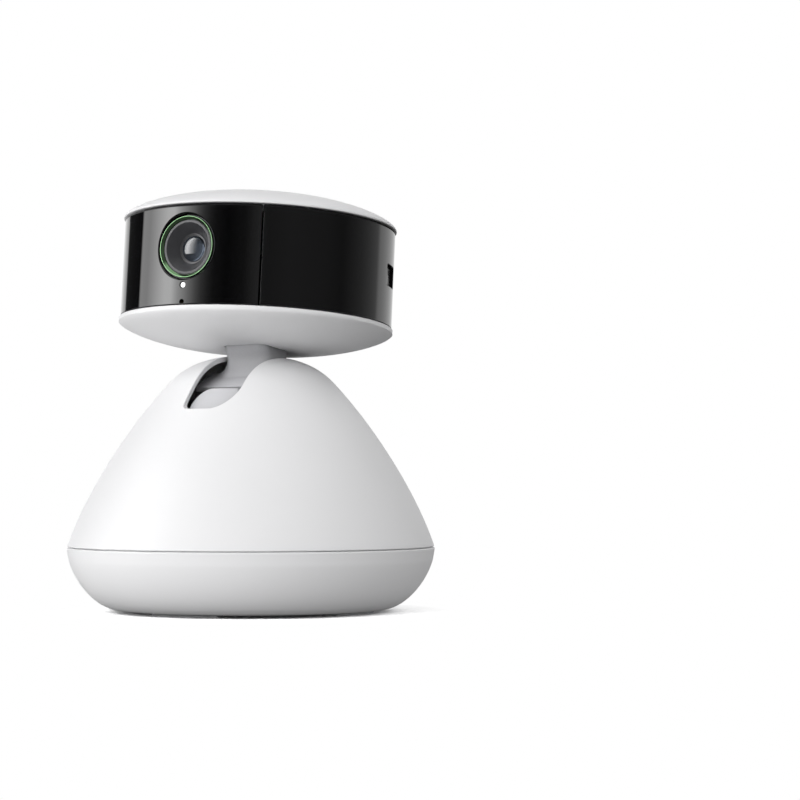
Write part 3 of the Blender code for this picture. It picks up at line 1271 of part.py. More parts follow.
def make_camera():
    """Build every piece of the camera in its rest pose."""
    remove_everything()
    tilt_frame = bpy.data.objects.new("tilt_frame", None)
    bpy.context.collection.objects.link(tilt_frame)
    tilt_frame.location = (0, 0, PIVOT_HEIGHT)
    tilt_frame.rotation_euler = (-REST_LEAN, 0, 0)
    head_frame = bpy.data.objects.new("head_frame", None)
    bpy.context.collection.objects.link(head_frame)
    head_frame.parent = tilt_frame
    head_frame.location = (0, HEAD_BACK_SET, HEAD_RISE)

    make_base_shell()
    make_base_plate()
    make_feet()
    make_ballast()
    make_pan_post()
    make_power_socket()

    make_turntable()
    make_cone_shell()
    make_slot_tongue()
    make_pan_drive()
    left_bracket = make_brackets()
    make_tilt_axle()
    make_tilt_drive(left_bracket)
    make_control_board()

    make_neck(tilt_frame)
    make_slot_shield(tilt_frame)
    make_tilt_gear(tilt_frame)
    make_head_underside(head_frame)
    make_front_window(head_frame)
    make_rear_band(head_frame)
    make_head_cap(head_frame)
    make_lens(lens_frame(head_frame))
    make_infrared_boards(head_frame)
    make_head_electronics(head_frame)
    make_side_key(head_frame)


make_camera()
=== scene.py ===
"""Looks of the pet camera: fine surfaces, finishes, studio and camera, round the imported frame."""
import math

import bpy
import numpy as np
from mathutils import Matrix, Vector


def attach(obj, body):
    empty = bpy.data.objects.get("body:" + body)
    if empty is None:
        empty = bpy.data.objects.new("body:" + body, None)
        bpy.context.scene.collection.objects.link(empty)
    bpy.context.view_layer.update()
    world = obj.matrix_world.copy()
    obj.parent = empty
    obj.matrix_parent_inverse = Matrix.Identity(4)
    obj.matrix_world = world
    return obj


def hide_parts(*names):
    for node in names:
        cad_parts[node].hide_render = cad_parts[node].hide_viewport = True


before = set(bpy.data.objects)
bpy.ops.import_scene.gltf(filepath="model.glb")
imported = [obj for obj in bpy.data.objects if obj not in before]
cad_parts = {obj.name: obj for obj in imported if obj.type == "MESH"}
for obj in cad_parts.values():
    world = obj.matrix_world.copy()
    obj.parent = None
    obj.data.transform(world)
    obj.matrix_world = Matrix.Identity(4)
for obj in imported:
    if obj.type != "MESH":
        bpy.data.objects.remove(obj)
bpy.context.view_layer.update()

# Fits and edges
GAP = 0.0003
EDGE = 0.0003
SLOT_EDGE = 0.0002
FINE_EDGE = 0.00012
TRIM_EDGE = 0.00006
HAIR_EDGE = 0.00004
TINY = 1e-7
TURN_SEGMENTS = 256
SMALL_SEGMENTS = 96
LENS_SEGMENTS = 160
HOLE_POINTS = 144
SHARP_ANGLE = math.radians(35)
PATCH_GRADING = 1.4
SLOT_GRADING = 1.6

# Base bowl
BASE_RADIUS = 0.0502
BASE_TOP = 0.0175
BASE_FLOOR = 0.0009
BASE_WALL = 0.0022
BOWL_FLARE = 0.0129
BOWL_FOOT_RADIUS = 0.0373
BOWL_RIM_BAND = 0.0034
PLATE_OPENING_RADIUS = 0.0365
LEDGE_UNDER = 0.0030
LEDGE_THICKNESS = 0.0020
LEDGE_RADIUS = 0.0325
FOOT_HEIGHT = 0.0006
FOOT_INNER_RADIUS = 0.0285
FOOT_OUTER_RADIUS = 0.0345
FOOT_HALF_ANGLE = math.radians(17)
BOWL_FALL_POWER = 1.665
BOWL_ROUND_POWER = 1.598
SOCKET_HEIGHT = 0.0084
SOCKET_WINDOW = (0.0122, 0.0064)
SOCKET_WINDOW_EDGE = 0.0018
SOCKET_CELL_SHARE = 0.8

# Cone and its slot
CONE_FOOT = 0.01795
CONE_RADIUS = 0.0500
CONE_HEIGHT = 0.0519
CONE_WALL = 0.0020
CONE_SLOT_WALL = 0.0013
CONE_THIN_FROM = (0.0440, 0.0520)
CONE_LOWER_SHARES = ((1.0, 0.0), (0.924, 0.223), (0.720, 0.577), (0.451, 0.857))
CONE_UPPER_SHARES = ((0.451, 0.857), (0.309, 1.004), (0.109, 1.0), (0.0, 1.0))
SLOT_LEFT = -0.0039
SLOT_RIGHT = 0.0104
SLOT_FLOOR = 0.0548
SLOT_FILLET = 0.0064
SLOT_SMALL_FILLET = 0.0016
SLOT_REAR = 0.0165
SLOT_REAR_FILLET = 0.0030

# Tongue behind the slot's lower end
TONGUE_WALL = 0.0010
TONGUE_LEFT = -0.0034
TONGUE_RIGHT = 0.0087
TONGUE_TOP = 0.0603
TONGUE_FOOT = 0.0490
TONGUE_LEFT_FILLET = 0.0050
TONGUE_RIGHT_FILLET = 0.0015

# Neck and shield, in the tilting frame
PIVOT_HEIGHT = 0.0354
REST_LEAN = math.radians(5.0)
NECK_MIDDLE = 0.00325
NECK_WIDTH = 0.0130
NECK_FRONT = 0.0133
NECK_BACK = 0.0006
NECK_THROAT_LEFT = 0.0119
NECK_THROAT_RIGHT = 0.0099
NECK_THROAT_TOP = 0.0370
NECK_EDGE = 0.0025
NECK_HUB_RADIUS = 0.0065
NECK_HUB_HALF = 0.0116
NECK_FOOT_HEIGHT = 0.00455
NECK_FOOT_DEPTH_SHARE = 0.7
NECK_FOOT_BACK = 0.0013
NECK_STEM_HEIGHT = 0.0195
NECK_FLANGE_OVER = 0.0040
NECK_FLANGE_THICKNESS = 0.0020
NECK_PAD_TOP = 0.0138
AXLE_RADIUS = 0.0020
SHIELD_RADIUS = 0.0302
SHIELD_WALL = 0.0014
SHIELD_LEFT = -0.0080
SHIELD_RIGHT = 0.0112
SHIELD_FRONT_ANGLE = math.radians(37.4)
SHIELD_REAR_ANGLE = math.radians(54)
FLARE_RISE = 0.0038
FLARE_SIDE = 0.0044
FLARE_RIGHT = 0.0012
FLARE_FRONT = 0.0023
FLARE_SUNK = (0.00112, 0.00042)

# Head, in its own frame
HEAD_BACK_SET = -0.00157
HEAD_RISE = 0.02536
BAND_RADIUS = 0.03725
BAND_WALL = 0.0018
BAND_BOTTOM = 0.0181
BAND_TOP = 0.04475
BAND_SEAM = 0.00035
BAND_CHAMFER = 0.0006
RIM_RADIUS = 0.0376
RIM_TOP = 0.0178
RIM_FOOT = 0.0166
DISH_RADIUS = 0.0371
DISH_TOP = 0.0162
DISH_DEPTH = 0.0060
DISH_FLAT_POWER = 2.52
DISH_ROUND_POWER = 0.81
DISH_WALL = 0.0020
CAP_RADIUS = 0.0376
CAP_LIP = 0.0450
CAP_EDGE = 0.0453
CAP_RISE = 0.0080
CAP_ROUND_POWER = 0.667
CAP_WALL = 0.0020
CAP_SPIGOT_RADIUS = 0.0350
CAP_SPIGOT_DEPTH = 0.0016
WINDOW_LEFT = math.radians(-39.1)
WINDOW_RIGHT = math.radians(32.5)
LENS_HEIGHT = 0.0335
LENS_HOLE = 0.0088
LENS_HOLE_EDGE = 0.0003
LENS_CELL_SHARE = 1.25
LIGHT_HEIGHT = 0.0232
LIGHT_HOLE = 0.0008
LIGHT_CELL_SHARE = 2.2
MIC_HEIGHT = 0.0187
MIC_HOLE = 0.0007
MIC_FLOOR = 0.01828
MIC_HOLE_EDGE = 0.00004
KEY_AZIMUTH = math.radians(107.5)
KEY_HEIGHT = 0.0317
KEY_WINDOW = (0.0083, 0.0058)
KEY_CELL_SHARE = 0.75
KEY_CLEARANCE = 0.0004
KEY_RECESS = 0.0010
KEY_FLANGE = 0.0008
KEY_FLANGE_FACE = 0.0028
KEY_FLANGE_THICKNESS = 0.0010
SPEAKER_HEIGHT = 0.0325
SPEAKER_SLOTS = 7
SPEAKER_SLOT = (0.0011, 0.0090)
SPEAKER_SLOT_PITCH = 0.0024

# Lens: distances run back from the window's face
BARREL_RADIUS = 0.0086
BARREL_FRONT = 0.0014
BARREL_NECK = 0.0035
BARREL_TAIL_RADIUS = 0.0066
BARREL_TAIL = 0.0130
BARREL_BORE = 0.0035
RING_SEAT = 0.0016
RING_OUTER = 0.0082
RING_INNER = 0.0074
RING_FRONT = 0.0008
RING_BACK = 0.0014
RING_LAND = 0.00015
RING_INNER_GAP = 0.00015
RING_OUTER_GAP = 0.0001
FACE_DEPTH = 0.0015
FUNNEL_RADIUS = 0.0066
FUNNEL_STEPS = 3
FUNNEL_STEP = 0.0002
FUNNEL_RISE = 0.00016
FUNNEL_FOOT_DEPTH = 0.0045
LENS_RADIUS = 0.0034
FRONT_LENS_FACE = 0.0033
FRONT_LENS_BULGE = 0.0011
FRONT_LENS_BACK = 0.0066
REAR_LENS_FACE = 0.0084
REAR_LENS_BULGE = 0.0009
REAR_LENS_BACK = 0.0102
LIGHT_RADIUS = 0.00066
LIGHT_FACE = 0.0001
LIGHT_DOME = 0.0002
LIGHT_LENGTH = 0.0060

# Camera, from the photograph's perspective
CAMERA_AZIMUTH = math.radians(32.0)
CAMERA_DISTANCE = 0.680
CAMERA_HEIGHT = 0.03683
CAMERA_HEADING = math.radians(28.574)
CAMERA_PITCH = math.radians(1.771)
FOCAL_PIXELS = 2476.57
IMAGE_PIXELS = 800
SENSOR_WIDTH = 36.0

# Studio
PANELS = ((-180, 1.0), (180, 1.0), (-160, 1.0), (-130, 1.35), (-120, 1.2), (-114, 0.4), (-112, 0.05),
          (-87, 0.03), (-85, 2.3), (-80, 2.5), (-75, 2.7), (-67, 4.3), (-60, 6.0), (-53, 7.8), (-46, 8.3),
          (-40, 5.6), (-34, 4.1), (-28, 2.55), (-22, 1.24), (-17, 0.6), (-11, 0.25), (-6, 0.1), (5, 0.03),
          (20, 0.1), (31, 0.34), (38, 0.15), (60, 0.2), (90, 0.16), (107, 0.1), (130, 0.28), (151, 0.5),
          (156, 0.97))
PANEL_PEAK = 8.5
PANEL_TOP = (0.77, 0.9)
LOBES = ((0, 25, 8, 3.85), (-30, 25, 8, 0.38), (122, 0, 2, 1.55), (-58, 0, 2, 0.36))
FLOOR_SIZE = 6.0
FLOOR_SEEN = 2.2
FLOOR_RIGHT = 122
FLOOR_GLOW = (0.92, 0.05)
FLOOR_FADE = 0.12
FLOOR_DARK = (0.033, 0.05)
FLOOR_WHITE = (0.041, 0.055)
FLOOR_MIRRORED = 0.12

# Spans and sizes in the finishes
DRIFT_SPAN = (0.3, 0.7)
SHADE_SPAN = (0.25, 0.95)
COPPER_SPAN = (0.38, 0.42)
BOARD_PITCH = 0.0022
COPPER_THICKNESS = 0.000035
BOARD_ROUGHNESS = 0.32
METAL = {"Metallic": 1.0}

# Frames of the tilting parts, the head and the lens
TILT = Matrix.Translation((0, 0, PIVOT_HEIGHT)) @ Matrix.Rotation(-REST_LEAN, 4, "X")
HEAD = TILT @ Matrix.Translation((0, HEAD_BACK_SET, HEAD_RISE))
LENS = HEAD @ Matrix.Translation((0, -BAND_RADIUS, LENS_HEIGHT)) @ Matrix.Rotation(math.pi / 2, 4, "X")


# Outlines and profiles
def cubic(shares, count):
    """Points on a cubic curve whose four control points are given as shares."""
    t = np.linspace(0, 1, count)[:, None]
    corners = np.array(shares)
    return ((1 - t) ** 3 * corners[0] + 3 * t * (1 - t) ** 2 * corners[1]
            + 3 * t * t * (1 - t) * corners[2] + t ** 3 * corners[3])


def arc(centre, radius, start, end, count):
    """Points on an arc between two angles, in degrees anticlockwise from the first axis."""
    angles = np.radians(np.linspace(start, end, count))
    return np.column_stack([centre[0] + radius * np.cos(angles), centre[1] + radius * np.sin(angles)])


def straight(start, end, count):
    """Points on a straight line."""
    t = np.linspace(0, 1, count)[:, None]
    return np.array(start) * (1 - t) + np.array(end) * t


def divided(stops, counts):
    """Values from stop to stop, each span divided evenly into its own count of steps."""
    spans = [np.linspace(start, end, count + 1)[:-1]
             for start, end, count in zip(stops, stops[1:], counts)]
    return np.append(np.concatenate(spans), stops[-1])


def around(azimuth, radius, *height):
    """Places by azimuth, from the front (-Y) towards +X, and radius, with a height if given."""
    return np.column_stack([radius * np.sin(azimuth), -radius * np.cos(azimuth), *height])


def level(outline, height):
    """An outline's points at a height."""
    return np.column_stack([outline, np.full(len(outline), height)])


def box_middle(points):
    """The middle of the box round some points."""
    return (points.max(axis=0) + points.min(axis=0)) / 2


def without_repeats(points):
    """A closed outline without points that coincide with the one before."""
    steps = np.linalg.norm(points - np.roll(points, 1, axis=0), axis=1)
    return points[steps > TINY]


def rounded_rectangle(width, height, fillet, centre=(0.0, 0.0), count=9):
    """An anticlockwise rectangle with round corners, with each side divided too."""
    x, y = width / 2 - fillet, height / 2 - fillet
    corners = ((x, y, 0), (-x, y, 90), (-x, -y, 180), (x, -y, 270))
    parts = [arc((centre[0] + a, centre[1] + b), fillet, turn, turn + 90, count)
             for a, b, turn in corners]
    outline = []
    for part, after in zip(parts, parts[1:] + parts[:1]):
        outline += [part, straight(part[-1], after[0], count)]
    return without_repeats(np.vstack(outline))


def filleted(corners, steps=5):
    """A closed outline of (radius, height, fillet) corners, with each fillet drawn as an arc."""
    outline = []
    for index, (r, z, fillet) in enumerate(corners):
        here = Vector((r, z))
        before = (Vector(corners[index - 1][:2]) - here).normalized()
        after = (Vector(corners[(index + 1) % len(corners)][:2]) - here).normalized()
        if fillet == 0:
            outline.append([(r, z)])
            continue
        half = before.angle(after) / 2
        centre = here + (before + after).normalized() * fillet / math.sin(half)
        first = here + before * fillet / math.tan(half) - centre
        last = here + after * fillet / math.tan(half) - centre
        angles = math.atan2(first.cross(last), first.dot(last)) * np.arange(steps + 1) / steps
        cos, sin = np.cos(angles), np.sin(angles)
        outline.append(np.column_stack([centre.x + first.x * cos - first.y * sin,
                                        centre.y + first.x * sin + first.y * cos]))
    return np.vstack(outline)


def mitred(arriving, leaving):
    """Unit normals to the right of two directions, averaged and lengthened to mitre the corner."""
    sides = [way[:, ::-1] * (1, -1) / np.linalg.norm(way, axis=1)[:, None] for way in (arriving, leaving)]
    return sum(sides) / (1 + np.sum(sides[0] * sides[1], axis=1))[:, None]


def outward(points):
    """Mitred normals to the right of a closed outline's direction."""
    return mitred(points - np.roll(points, 1, axis=0), np.roll(points, -1, axis=0) - points)


def lengths(profile):
    """The length along a profile up to each of its points."""
    return np.concatenate([[0], np.cumsum(np.linalg.norm(np.diff(profile, axis=0), axis=1))])


def profile_normals(profile):
    """Unit normals to the left of a profile: its direction, turned by a quarter."""
    along = np.gradient(profile, lengths(profile), axis=0)
    along /= np.linalg.norm(along, axis=1)[:, None]
    return np.column_stack([-along[:, 1], along[:, 0]])


def match(outline, spots, middle):
    """The point of an outline at the angle of each spot, both seen from a middle."""
    spokes = outline - middle
    turns = np.arctan2(spokes[:, 1], spokes[:, 0])
    order = np.argsort(turns)
    away = spots - middle
    angles = np.arctan2(away[:, 1], away[:, 0])
    radii = np.interp(angles, turns[order], np.linalg.norm(spokes, axis=1)[order], period=math.tau)
    return middle + np.column_stack([np.cos(angles), np.sin(angles)]) * radii[:, None]


# Surfaces
def turned_surface(profile, inner, wall, sign=1, start=0.0):
    """A surface of revolution as a function of a flat map and a depth into its wall.

    The map is polar: a point's direction is its azimuth, and its distance from the middle is
    the length along the profile, counted from a starting value. A depth less than the wall runs
    along the profile's normal, and the full wall reaches the inner profile.
    """
    length = start + lengths(profile)
    normal = sign * profile_normals(profile)

    def place(flat, depth):
        reach = np.linalg.norm(flat, axis=1)
        if np.max(depth) < wall:
            radius, height = [np.interp(reach, length, profile[:, axis])
                              - depth * np.interp(reach, length, normal[:, axis]) for axis in (0, 1)]
        else:
            radius, height = [np.interp(reach, length, inner[:, axis]) for axis in (0, 1)]
        return np.column_stack([radius * flat[:, 0] / reach, radius * flat[:, 1] / reach, height])

    return place, length


def flattened(plan, radii, length):
    """Places seen from above, put on the polar map of a surface of revolution."""
    radius = np.linalg.norm(plan, axis=1)
    return plan / radius[:, None] * np.interp(radius, radii, length)[:, None]


def drum_surface(radius):
    """A drum's outer face as a function of (arc length, height) and a depth."""
    def place(flat, depth):
        return around(flat[:, 0] / radius, radius - depth, flat[:, 1])
    return place


# Meshes
def quads(*corners):
    """Faces from four arrays of point numbers, which hold the faces' corners in turn."""
    return np.stack(corners, axis=-1).reshape(-1, 4).tolist()


def closed_rings(rings):
    """Faces between each ring of point numbers and the next, and from the last to the first."""
    after = np.roll(rings, -1, axis=1)
    return quads(rings, after, np.roll(after, -1, axis=0), np.roll(rings, -1, axis=0))


def ring_sheet(loop, rim, rows, grading=1.0):
    """Quads between an opening's loop and the rim round it, in rows on straight lines.

    A row's share of the way is its number's share to a power, the grading.
    """
    shares = ((np.arange(rows + 1) / rows) ** grading)[:, None, None]
    flat = (loop * (1 - shares) + rim * shares).reshape(-1, 2)
    rings = np.arange(len(flat)).reshape(rows + 1, -1)
    after = np.roll(rings, -1, axis=1)
    return flat, quads(rings[:-1], rings[1:], after[1:], after[:-1])


def grid_sheet(columns, rows, holes=(), wrap=False, rings=7):
    """Quads over columns and rows, with an opening inside the cell of each hole.

    A hole is (left, right, bottom, top, outline); its cell's sides lie on the grid's lines.
    Rings of points run from the cell's sides to the outline on straight lines.
    """
    flat = np.stack(np.meshgrid(columns, rows), axis=-1).reshape(-1, 2)
    number = np.arange(len(flat)).reshape(len(rows), len(columns))
    if wrap:
        number = np.column_stack([number, number[:, 0]])
    free = np.ones((len(rows) - 1, number.shape[1] - 1), bool)
    patches = []
    for left, right, bottom, top, outline in holes:
        c0, c1 = [np.argmin(np.abs(columns - side)) for side in (left, right)]
        r0, r1 = [np.argmin(np.abs(rows - side)) for side in (bottom, top)]
        free[r0:r1, c0:c1] = False
        border = np.concatenate([number[r0, c0:c1], number[r0:r1, c1],
                                 number[r1, c1:c0:-1], number[r1:r0:-1, c0]])
        cell = flat[border]
        loop = match(outline, cell, box_middle(outline))
        shares = ((1 - np.arange(1, rings + 1) / rings) ** PATCH_GRADING)[:, None, None]
        rims = np.vstack([border, len(flat) + np.arange(rings * len(border)).reshape(rings, -1)])
        flat = np.vstack([flat, (cell * shares + loop * (1 - shares)).reshape(-1, 2)])
        after = np.roll(rims, -1, axis=1)
        patches += quads(rims[:-1], after[:-1], after[1:], rims[1:])
    faces = quads(*(part[free] for part in (number[:-1, :-1], number[:-1, 1:], number[1:, 1:],
                                            number[1:, :-1])))
    used, faces = np.unique(faces + patches, return_inverse=True)
    return flat[used], faces.reshape(-1, 4).tolist()


def shell(flat, faces, place, wall, edge=EDGE, inner_flat=None, steps=4):
    """A closed wall from a sheet that is drawn on a flat map, with its outer edges rounded.

    The sheet stops short of each border by the edge's radius, which may be a function of the
    place on the map; the rounding, the cut face and the inner face follow from it. With one
    step the rounding is a chamfer. An edge of two columns is its reach across and up the map.
    """
    sides = {(a, b) for face in faces for a, b in zip(face, face[1:] + face[:1])}
    border = [(a, b) for a, b in sides if (b, a) not in sides]
    after = dict(border)
    before = {b: a for a, b in border}
    rim = sorted(after)
    spot = {corner: index for index, corner in enumerate(rim)}
    starts, ends = np.array([(spot[a], spot[b]) for a, b in border]).T
    here = flat[rim]
    normals = mitred(here - flat[[before[corner] for corner in rim]],
                     flat[[after[corner] for corner in rim]] - here)
    if callable(edge):
        reach = normals * edge(here)
        edge = edge(here).max(axis=1)
    else:
        reach = normals * edge
    points = [place(flat, 0.0)]
    count = len(flat)
    rings = [np.array(rim)]
    for step in range(1, steps + 1):
        turn = math.pi / 2 * step / steps
        points.append(place(here + reach * math.sin(turn), edge * (1 - math.cos(turn))))
        rings.append(count + np.arange(len(rim)))
        count += len(rim)
    inner = flat.copy() if inner_flat is None else inner_flat.copy()
    if inner_flat is None:
        inner[rim] = here + reach
    points.append(place(inner, wall))
    rings.append(count + np.array(rim))
    solid = list(faces)
    for ring, deeper in zip(rings, rings[1:]):
        solid += quads(ring[ends], ring[starts], deeper[starts], deeper[ends])
    solid += [[count + corner for corner in reversed(face)] for face in faces]
    return np.vstack(points), solid


def turned(profile, segments=SMALL_SEGMENTS):
    """A closed outline of (radius, height) points turned round Z, with a pole on the axis."""
    angles = np.linspace(0, math.tau, segments, endpoint=False)
    points = []
    rings = []
    count = 0
    for radius, height in profile:
        size = 1 if radius < TINY else segments
        points.append(around(angles[:size], radius, np.full(size, height)))
        rings.append(count + np.arange(segments) % size)
        count += size
    faces = [list(dict.fromkeys(face)) for face in closed_rings(np.array(rings))]
    return np.vstack(points), [face for face in faces if len(face) > 2]


def lofted(sections):
    """Sections of equally many points joined into a solid with flat ends."""
    points = np.vstack(sections)
    rings = np.arange(len(points)).reshape(len(sections), -1)
    after = np.roll(rings, -1, axis=1)
    faces = [rings[0].tolist(), rings[-1, ::-1].tolist()]
    return points, faces + quads(after[:-1], rings[:-1], rings[1:], after[1:])


def joined(*solids):
    """Several solids as one mesh."""
    points = []
    faces = []
    count = 0
    for some_points, some_faces in solids:
        points.append(some_points)
        faces += [[corner + count for corner in face] for face in some_faces]
        count += len(some_points)
    return np.vstack(points), faces


def moved(solid, matrix):
    """A solid after a change of frame."""
    points, faces = solid
    return points @ np.array(matrix.to_3x3()).T + np.array(matrix.translation), faces


def placed(name, data):
    """A new object in the scene that holds some data."""
    obj = bpy.data.objects.new(name, data)
    bpy.context.scene.collection.objects.link(obj)
    return obj


def piece(name, solid, body, node, slot):
    """Add a solid as a finished piece that rides on a body and stands for a node."""
    points, faces = solid
    mesh = bpy.data.meshes.new(name)
    mesh.from_pydata(points, [], faces)
    obj = placed(name, mesh)
    bpy.context.view_layer.objects.active = obj
    obj.select_set(True)
    bpy.ops.object.mode_set(mode="EDIT")
    bpy.ops.mesh.select_all(action="SELECT")
    bpy.ops.mesh.normals_make_consistent(inside=False)
    bpy.ops.object.mode_set(mode="OBJECT")
    obj.select_set(False)
    mesh.shade_smooth()
    mesh.set_sharp_from_angle(angle=SHARP_ANGLE)
    mesh.materials.append(FINISHES[slot])
    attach(obj, body)
    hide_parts(node)


# Base
def bowl_profile(count=90):
    """The bowl's outer curve from the foot: a superellipse, then a straight band up to the rim."""
    drop = BASE_TOP - BASE_FLOOR
    fall = np.cos(np.linspace(0, math.acos(BOWL_RIM_BAND / drop), count))
    reach = (1 - fall ** BOWL_FALL_POWER) ** (1 / BOWL_ROUND_POWER)
    curve = np.column_stack([BOWL_FOOT_RADIUS + BOWL_FLARE * reach, BASE_TOP - drop * fall])
    return np.vstack([curve, straight(curve[-1], (BASE_RADIUS, BASE_TOP), 12)[1:]])


def make_bowl():
    """The white bowl with its screw ledge, and the power socket's window at its rear."""
    profile = bowl_profile()
    inner = np.column_stack([np.maximum(profile[:, 0] - BASE_WALL, PLATE_OPENING_RADIUS), profile[:, 1]])
    place, length = turned_surface(profile, inner, BASE_WALL, -1, BOWL_FOOT_RADIUS)
    rear = math.pi * BASE_RADIUS
    cell = SOCKET_WINDOW[0] * SOCKET_CELL_SHARE
    columns = divided((0, rear - cell, rear + cell, 2 * rear), (109, 24, 109))[:-1]
    rows = np.linspace(length[0] + EDGE, length[-1] - EDGE, 46)
    width, height = SOCKET_WINDOW
    outline = rounded_rectangle(width + 2 * EDGE, height + 2 * EDGE, SOCKET_WINDOW_EDGE + EDGE,
                                (0, SOCKET_HEIGHT))
    window = np.column_stack([rear + outline[:, 0], np.interp(outline[:, 1], profile[:, 1], length)])
    low = rows[np.searchsorted(rows, window[:, 1].min()) - 2]
    high = rows[np.searchsorted(rows, window[:, 1].max()) + 1]
    flat, faces = grid_sheet(columns, rows, [(rear - cell, rear + cell, low, high, window)], wrap=True)
    polar = around(flat[:, 0] / BASE_RADIUS, flat[:, 1])
    faces = [face[::-1] for face in faces]
    ledge_top = LEDGE_UNDER + LEDGE_THICKNESS
    root_low, root_high = (np.interp((LEDGE_UNDER, ledge_top), profile[:, 1], profile[:, 0])
                           - BASE_WALL / 2)
    ledge = turned(filleted([(LEDGE_RADIUS, LEDGE_UNDER, FINE_EDGE), (root_low, LEDGE_UNDER, 0),
                             (root_high, ledge_top, 0), (LEDGE_RADIUS, ledge_top, FINE_EDGE)]),
                   TURN_SEGMENTS)
    return joined(shell(polar, faces, place, BASE_WALL), ledge)


def make_foot(middle):
    """A low pad, a sector of a ring with rounded edges, about an azimuth."""
    half = FOOT_HALF_ANGLE - FINE_EDGE / FOOT_OUTER_RADIUS
    azimuths = np.linspace(middle - half, middle + half, 25)
    radii = np.linspace(FOOT_INNER_RADIUS + FINE_EDGE, FOOT_OUTER_RADIUS - FINE_EDGE, 5)
    grid, faces = grid_sheet(azimuths, radii)
    flat = around(grid[:, 0], grid[:, 1])
    return shell(flat, [face[::-1] for face in faces], level, FOOT_HEIGHT, FINE_EDGE)


# Cone
def cone_profile():
    """The cone's outer curve from the crown to the seam, as two joined cubic curves."""
    lower = cubic(CONE_LOWER_SHARES, 140)
    upper = cubic(CONE_UPPER_SHARES, 140)[1:]
    shares = np.vstack([lower, upper])[::-1]
    return np.column_stack([CONE_RADIUS * shares[:, 0], CONE_FOOT + CONE_HEIGHT * shares[:, 1]])


def slot_loop(curve):
    """The slot's edge on a surface whose (radius, height) curve is given, seen from above.

    The front part is an outline in x and z, the sides and the rear are one in x and y.
    """
    def from_front(outline):
        radius = np.interp(outline[:, 1], curve[::-1, 1], curve[::-1, 0])
        return np.column_stack([outline[:, 0], -np.sqrt(radius ** 2 - outline[:, 0] ** 2)])

    f, g, b = SLOT_SMALL_FILLET, SLOT_FILLET, SLOT_REAR_FILLET
    front = from_front(np.vstack([
        arc((SLOT_LEFT + f, SLOT_FLOOR + f), f, 180, 270, 7),
        straight((SLOT_LEFT + f, SLOT_FLOOR), (SLOT_RIGHT - g, SLOT_FLOOR), 20),
        arc((SLOT_RIGHT - g, SLOT_FLOOR + g), g, 270, 360, 25)]))
    right = straight(front[-1], (SLOT_RIGHT, SLOT_REAR - b), 72)
    rear = np.vstack([arc((SLOT_RIGHT - b, SLOT_REAR - b), b, 0, 90, 13),
                      straight((SLOT_RIGHT - b, SLOT_REAR), (SLOT_LEFT + b, SLOT_REAR), 16),
                      arc((SLOT_LEFT + b, SLOT_REAR - b), b, 90, 180, 13)])
    left = straight((SLOT_LEFT, SLOT_REAR - b), front[0], 76)
    return np.vstack([front, right[1:], rear[1:], left[1:-1]])


def rim_circle(loop, radius):
    """Points on a circle that match an opening's loop, one for each of its points."""
    low, high = loop.min(axis=0), loop.max(axis=0)
    spokes = (loop - (low + high) / 2) / ((high - low) / 2)
    angles = np.unwrap(np.arctan2(spokes[:, 1], spokes[:, 0]))
    return radius * np.column_stack([np.cos(angles), np.sin(angles)])


def make_cone():
    """The cone with its slot, whose side walls stay upright. Its wall is thinner round the slot.

    Its sheet runs in straight rows from the slot's edge to the foot, on the profile's polar map.
    """
    profile = cone_profile()
    wall = np.interp(profile[:, 1], CONE_THIN_FROM, (CONE_WALL, CONE_SLOT_WALL))
    inner = profile - wall[:, None] * profile_normals(profile)
    inner[0, 0] = 0
    place, length = turned_surface(profile, inner, CONE_WALL)
    edge_loop = flattened(without_repeats(slot_loop(profile)), profile[:, 0], length)
    inner_loop = flattened(without_repeats(slot_loop(inner)), inner[:, 0], length)
    loop = edge_loop - outward(edge_loop[::-1])[::-1] * SLOT_EDGE
    rim = rim_circle(loop, length[-1] - FINE_EDGE)
    flat, faces = ring_sheet(loop, rim, 64, SLOT_GRADING)
    inner_rim = rim * length[-1] / (length[-1] - FINE_EDGE)
    inner_flat = ring_sheet(inner_loop, inner_rim, 64, SLOT_GRADING)[0]

    def edge(spots):
        at_foot = np.linalg.norm(spots, axis=1) > length[-1] - EDGE
        return np.where(at_foot, FINE_EDGE, SLOT_EDGE)[:, None]

    return shell(flat, faces, place, CONE_WALL, edge, inner_flat)


def make_tongue():
    """The curved tongue behind the slot's lower end: x and height are its two parameters.

    Each row runs between two sides that draw in as circles at the fillets, and its y puts it at
    the radius of the cone's inner face, set back by a gap.
    """
    profile = cone_profile()
    normal = profile_normals(profile)
    left_fillet, right_fillet = TONGUE_LEFT_FILLET - FINE_EDGE, TONGUE_RIGHT_FILLET - FINE_EDGE
    top = TONGUE_TOP - FINE_EDGE
    rise = left_fillet * np.sin(np.linspace(0, math.pi / 2, 22))
    rows = np.append(np.linspace(TONGUE_FOOT + FINE_EDGE, top - left_fillet, 20)[:-1],
                     top - left_fillet + rise)
    columns = np.arange(30)

    def inset(fillet):
        above = np.clip(rows - (top - fillet), 0, fillet)
        return fillet - np.sqrt(fillet ** 2 - above ** 2)

    across = np.linspace(TONGUE_LEFT + FINE_EDGE + inset(left_fillet),
                         TONGUE_RIGHT - FINE_EDGE - inset(right_fillet), len(columns), axis=1)
    flat = np.column_stack([across.ravel(), np.repeat(rows, len(columns))])

    def place(spots, depth):
        curve = profile - (CONE_WALL + GAP + depth) * normal
        radius = np.interp(spots[:, 1], curve[::-1, 1], curve[::-1, 0])
        return np.column_stack([spots[:, 0], -np.sqrt(radius ** 2 - spots[:, 0] ** 2), spots[:, 1]])

    return shell(flat, grid_sheet(columns, rows)[1], place, TONGUE_WALL, FINE_EDGE)


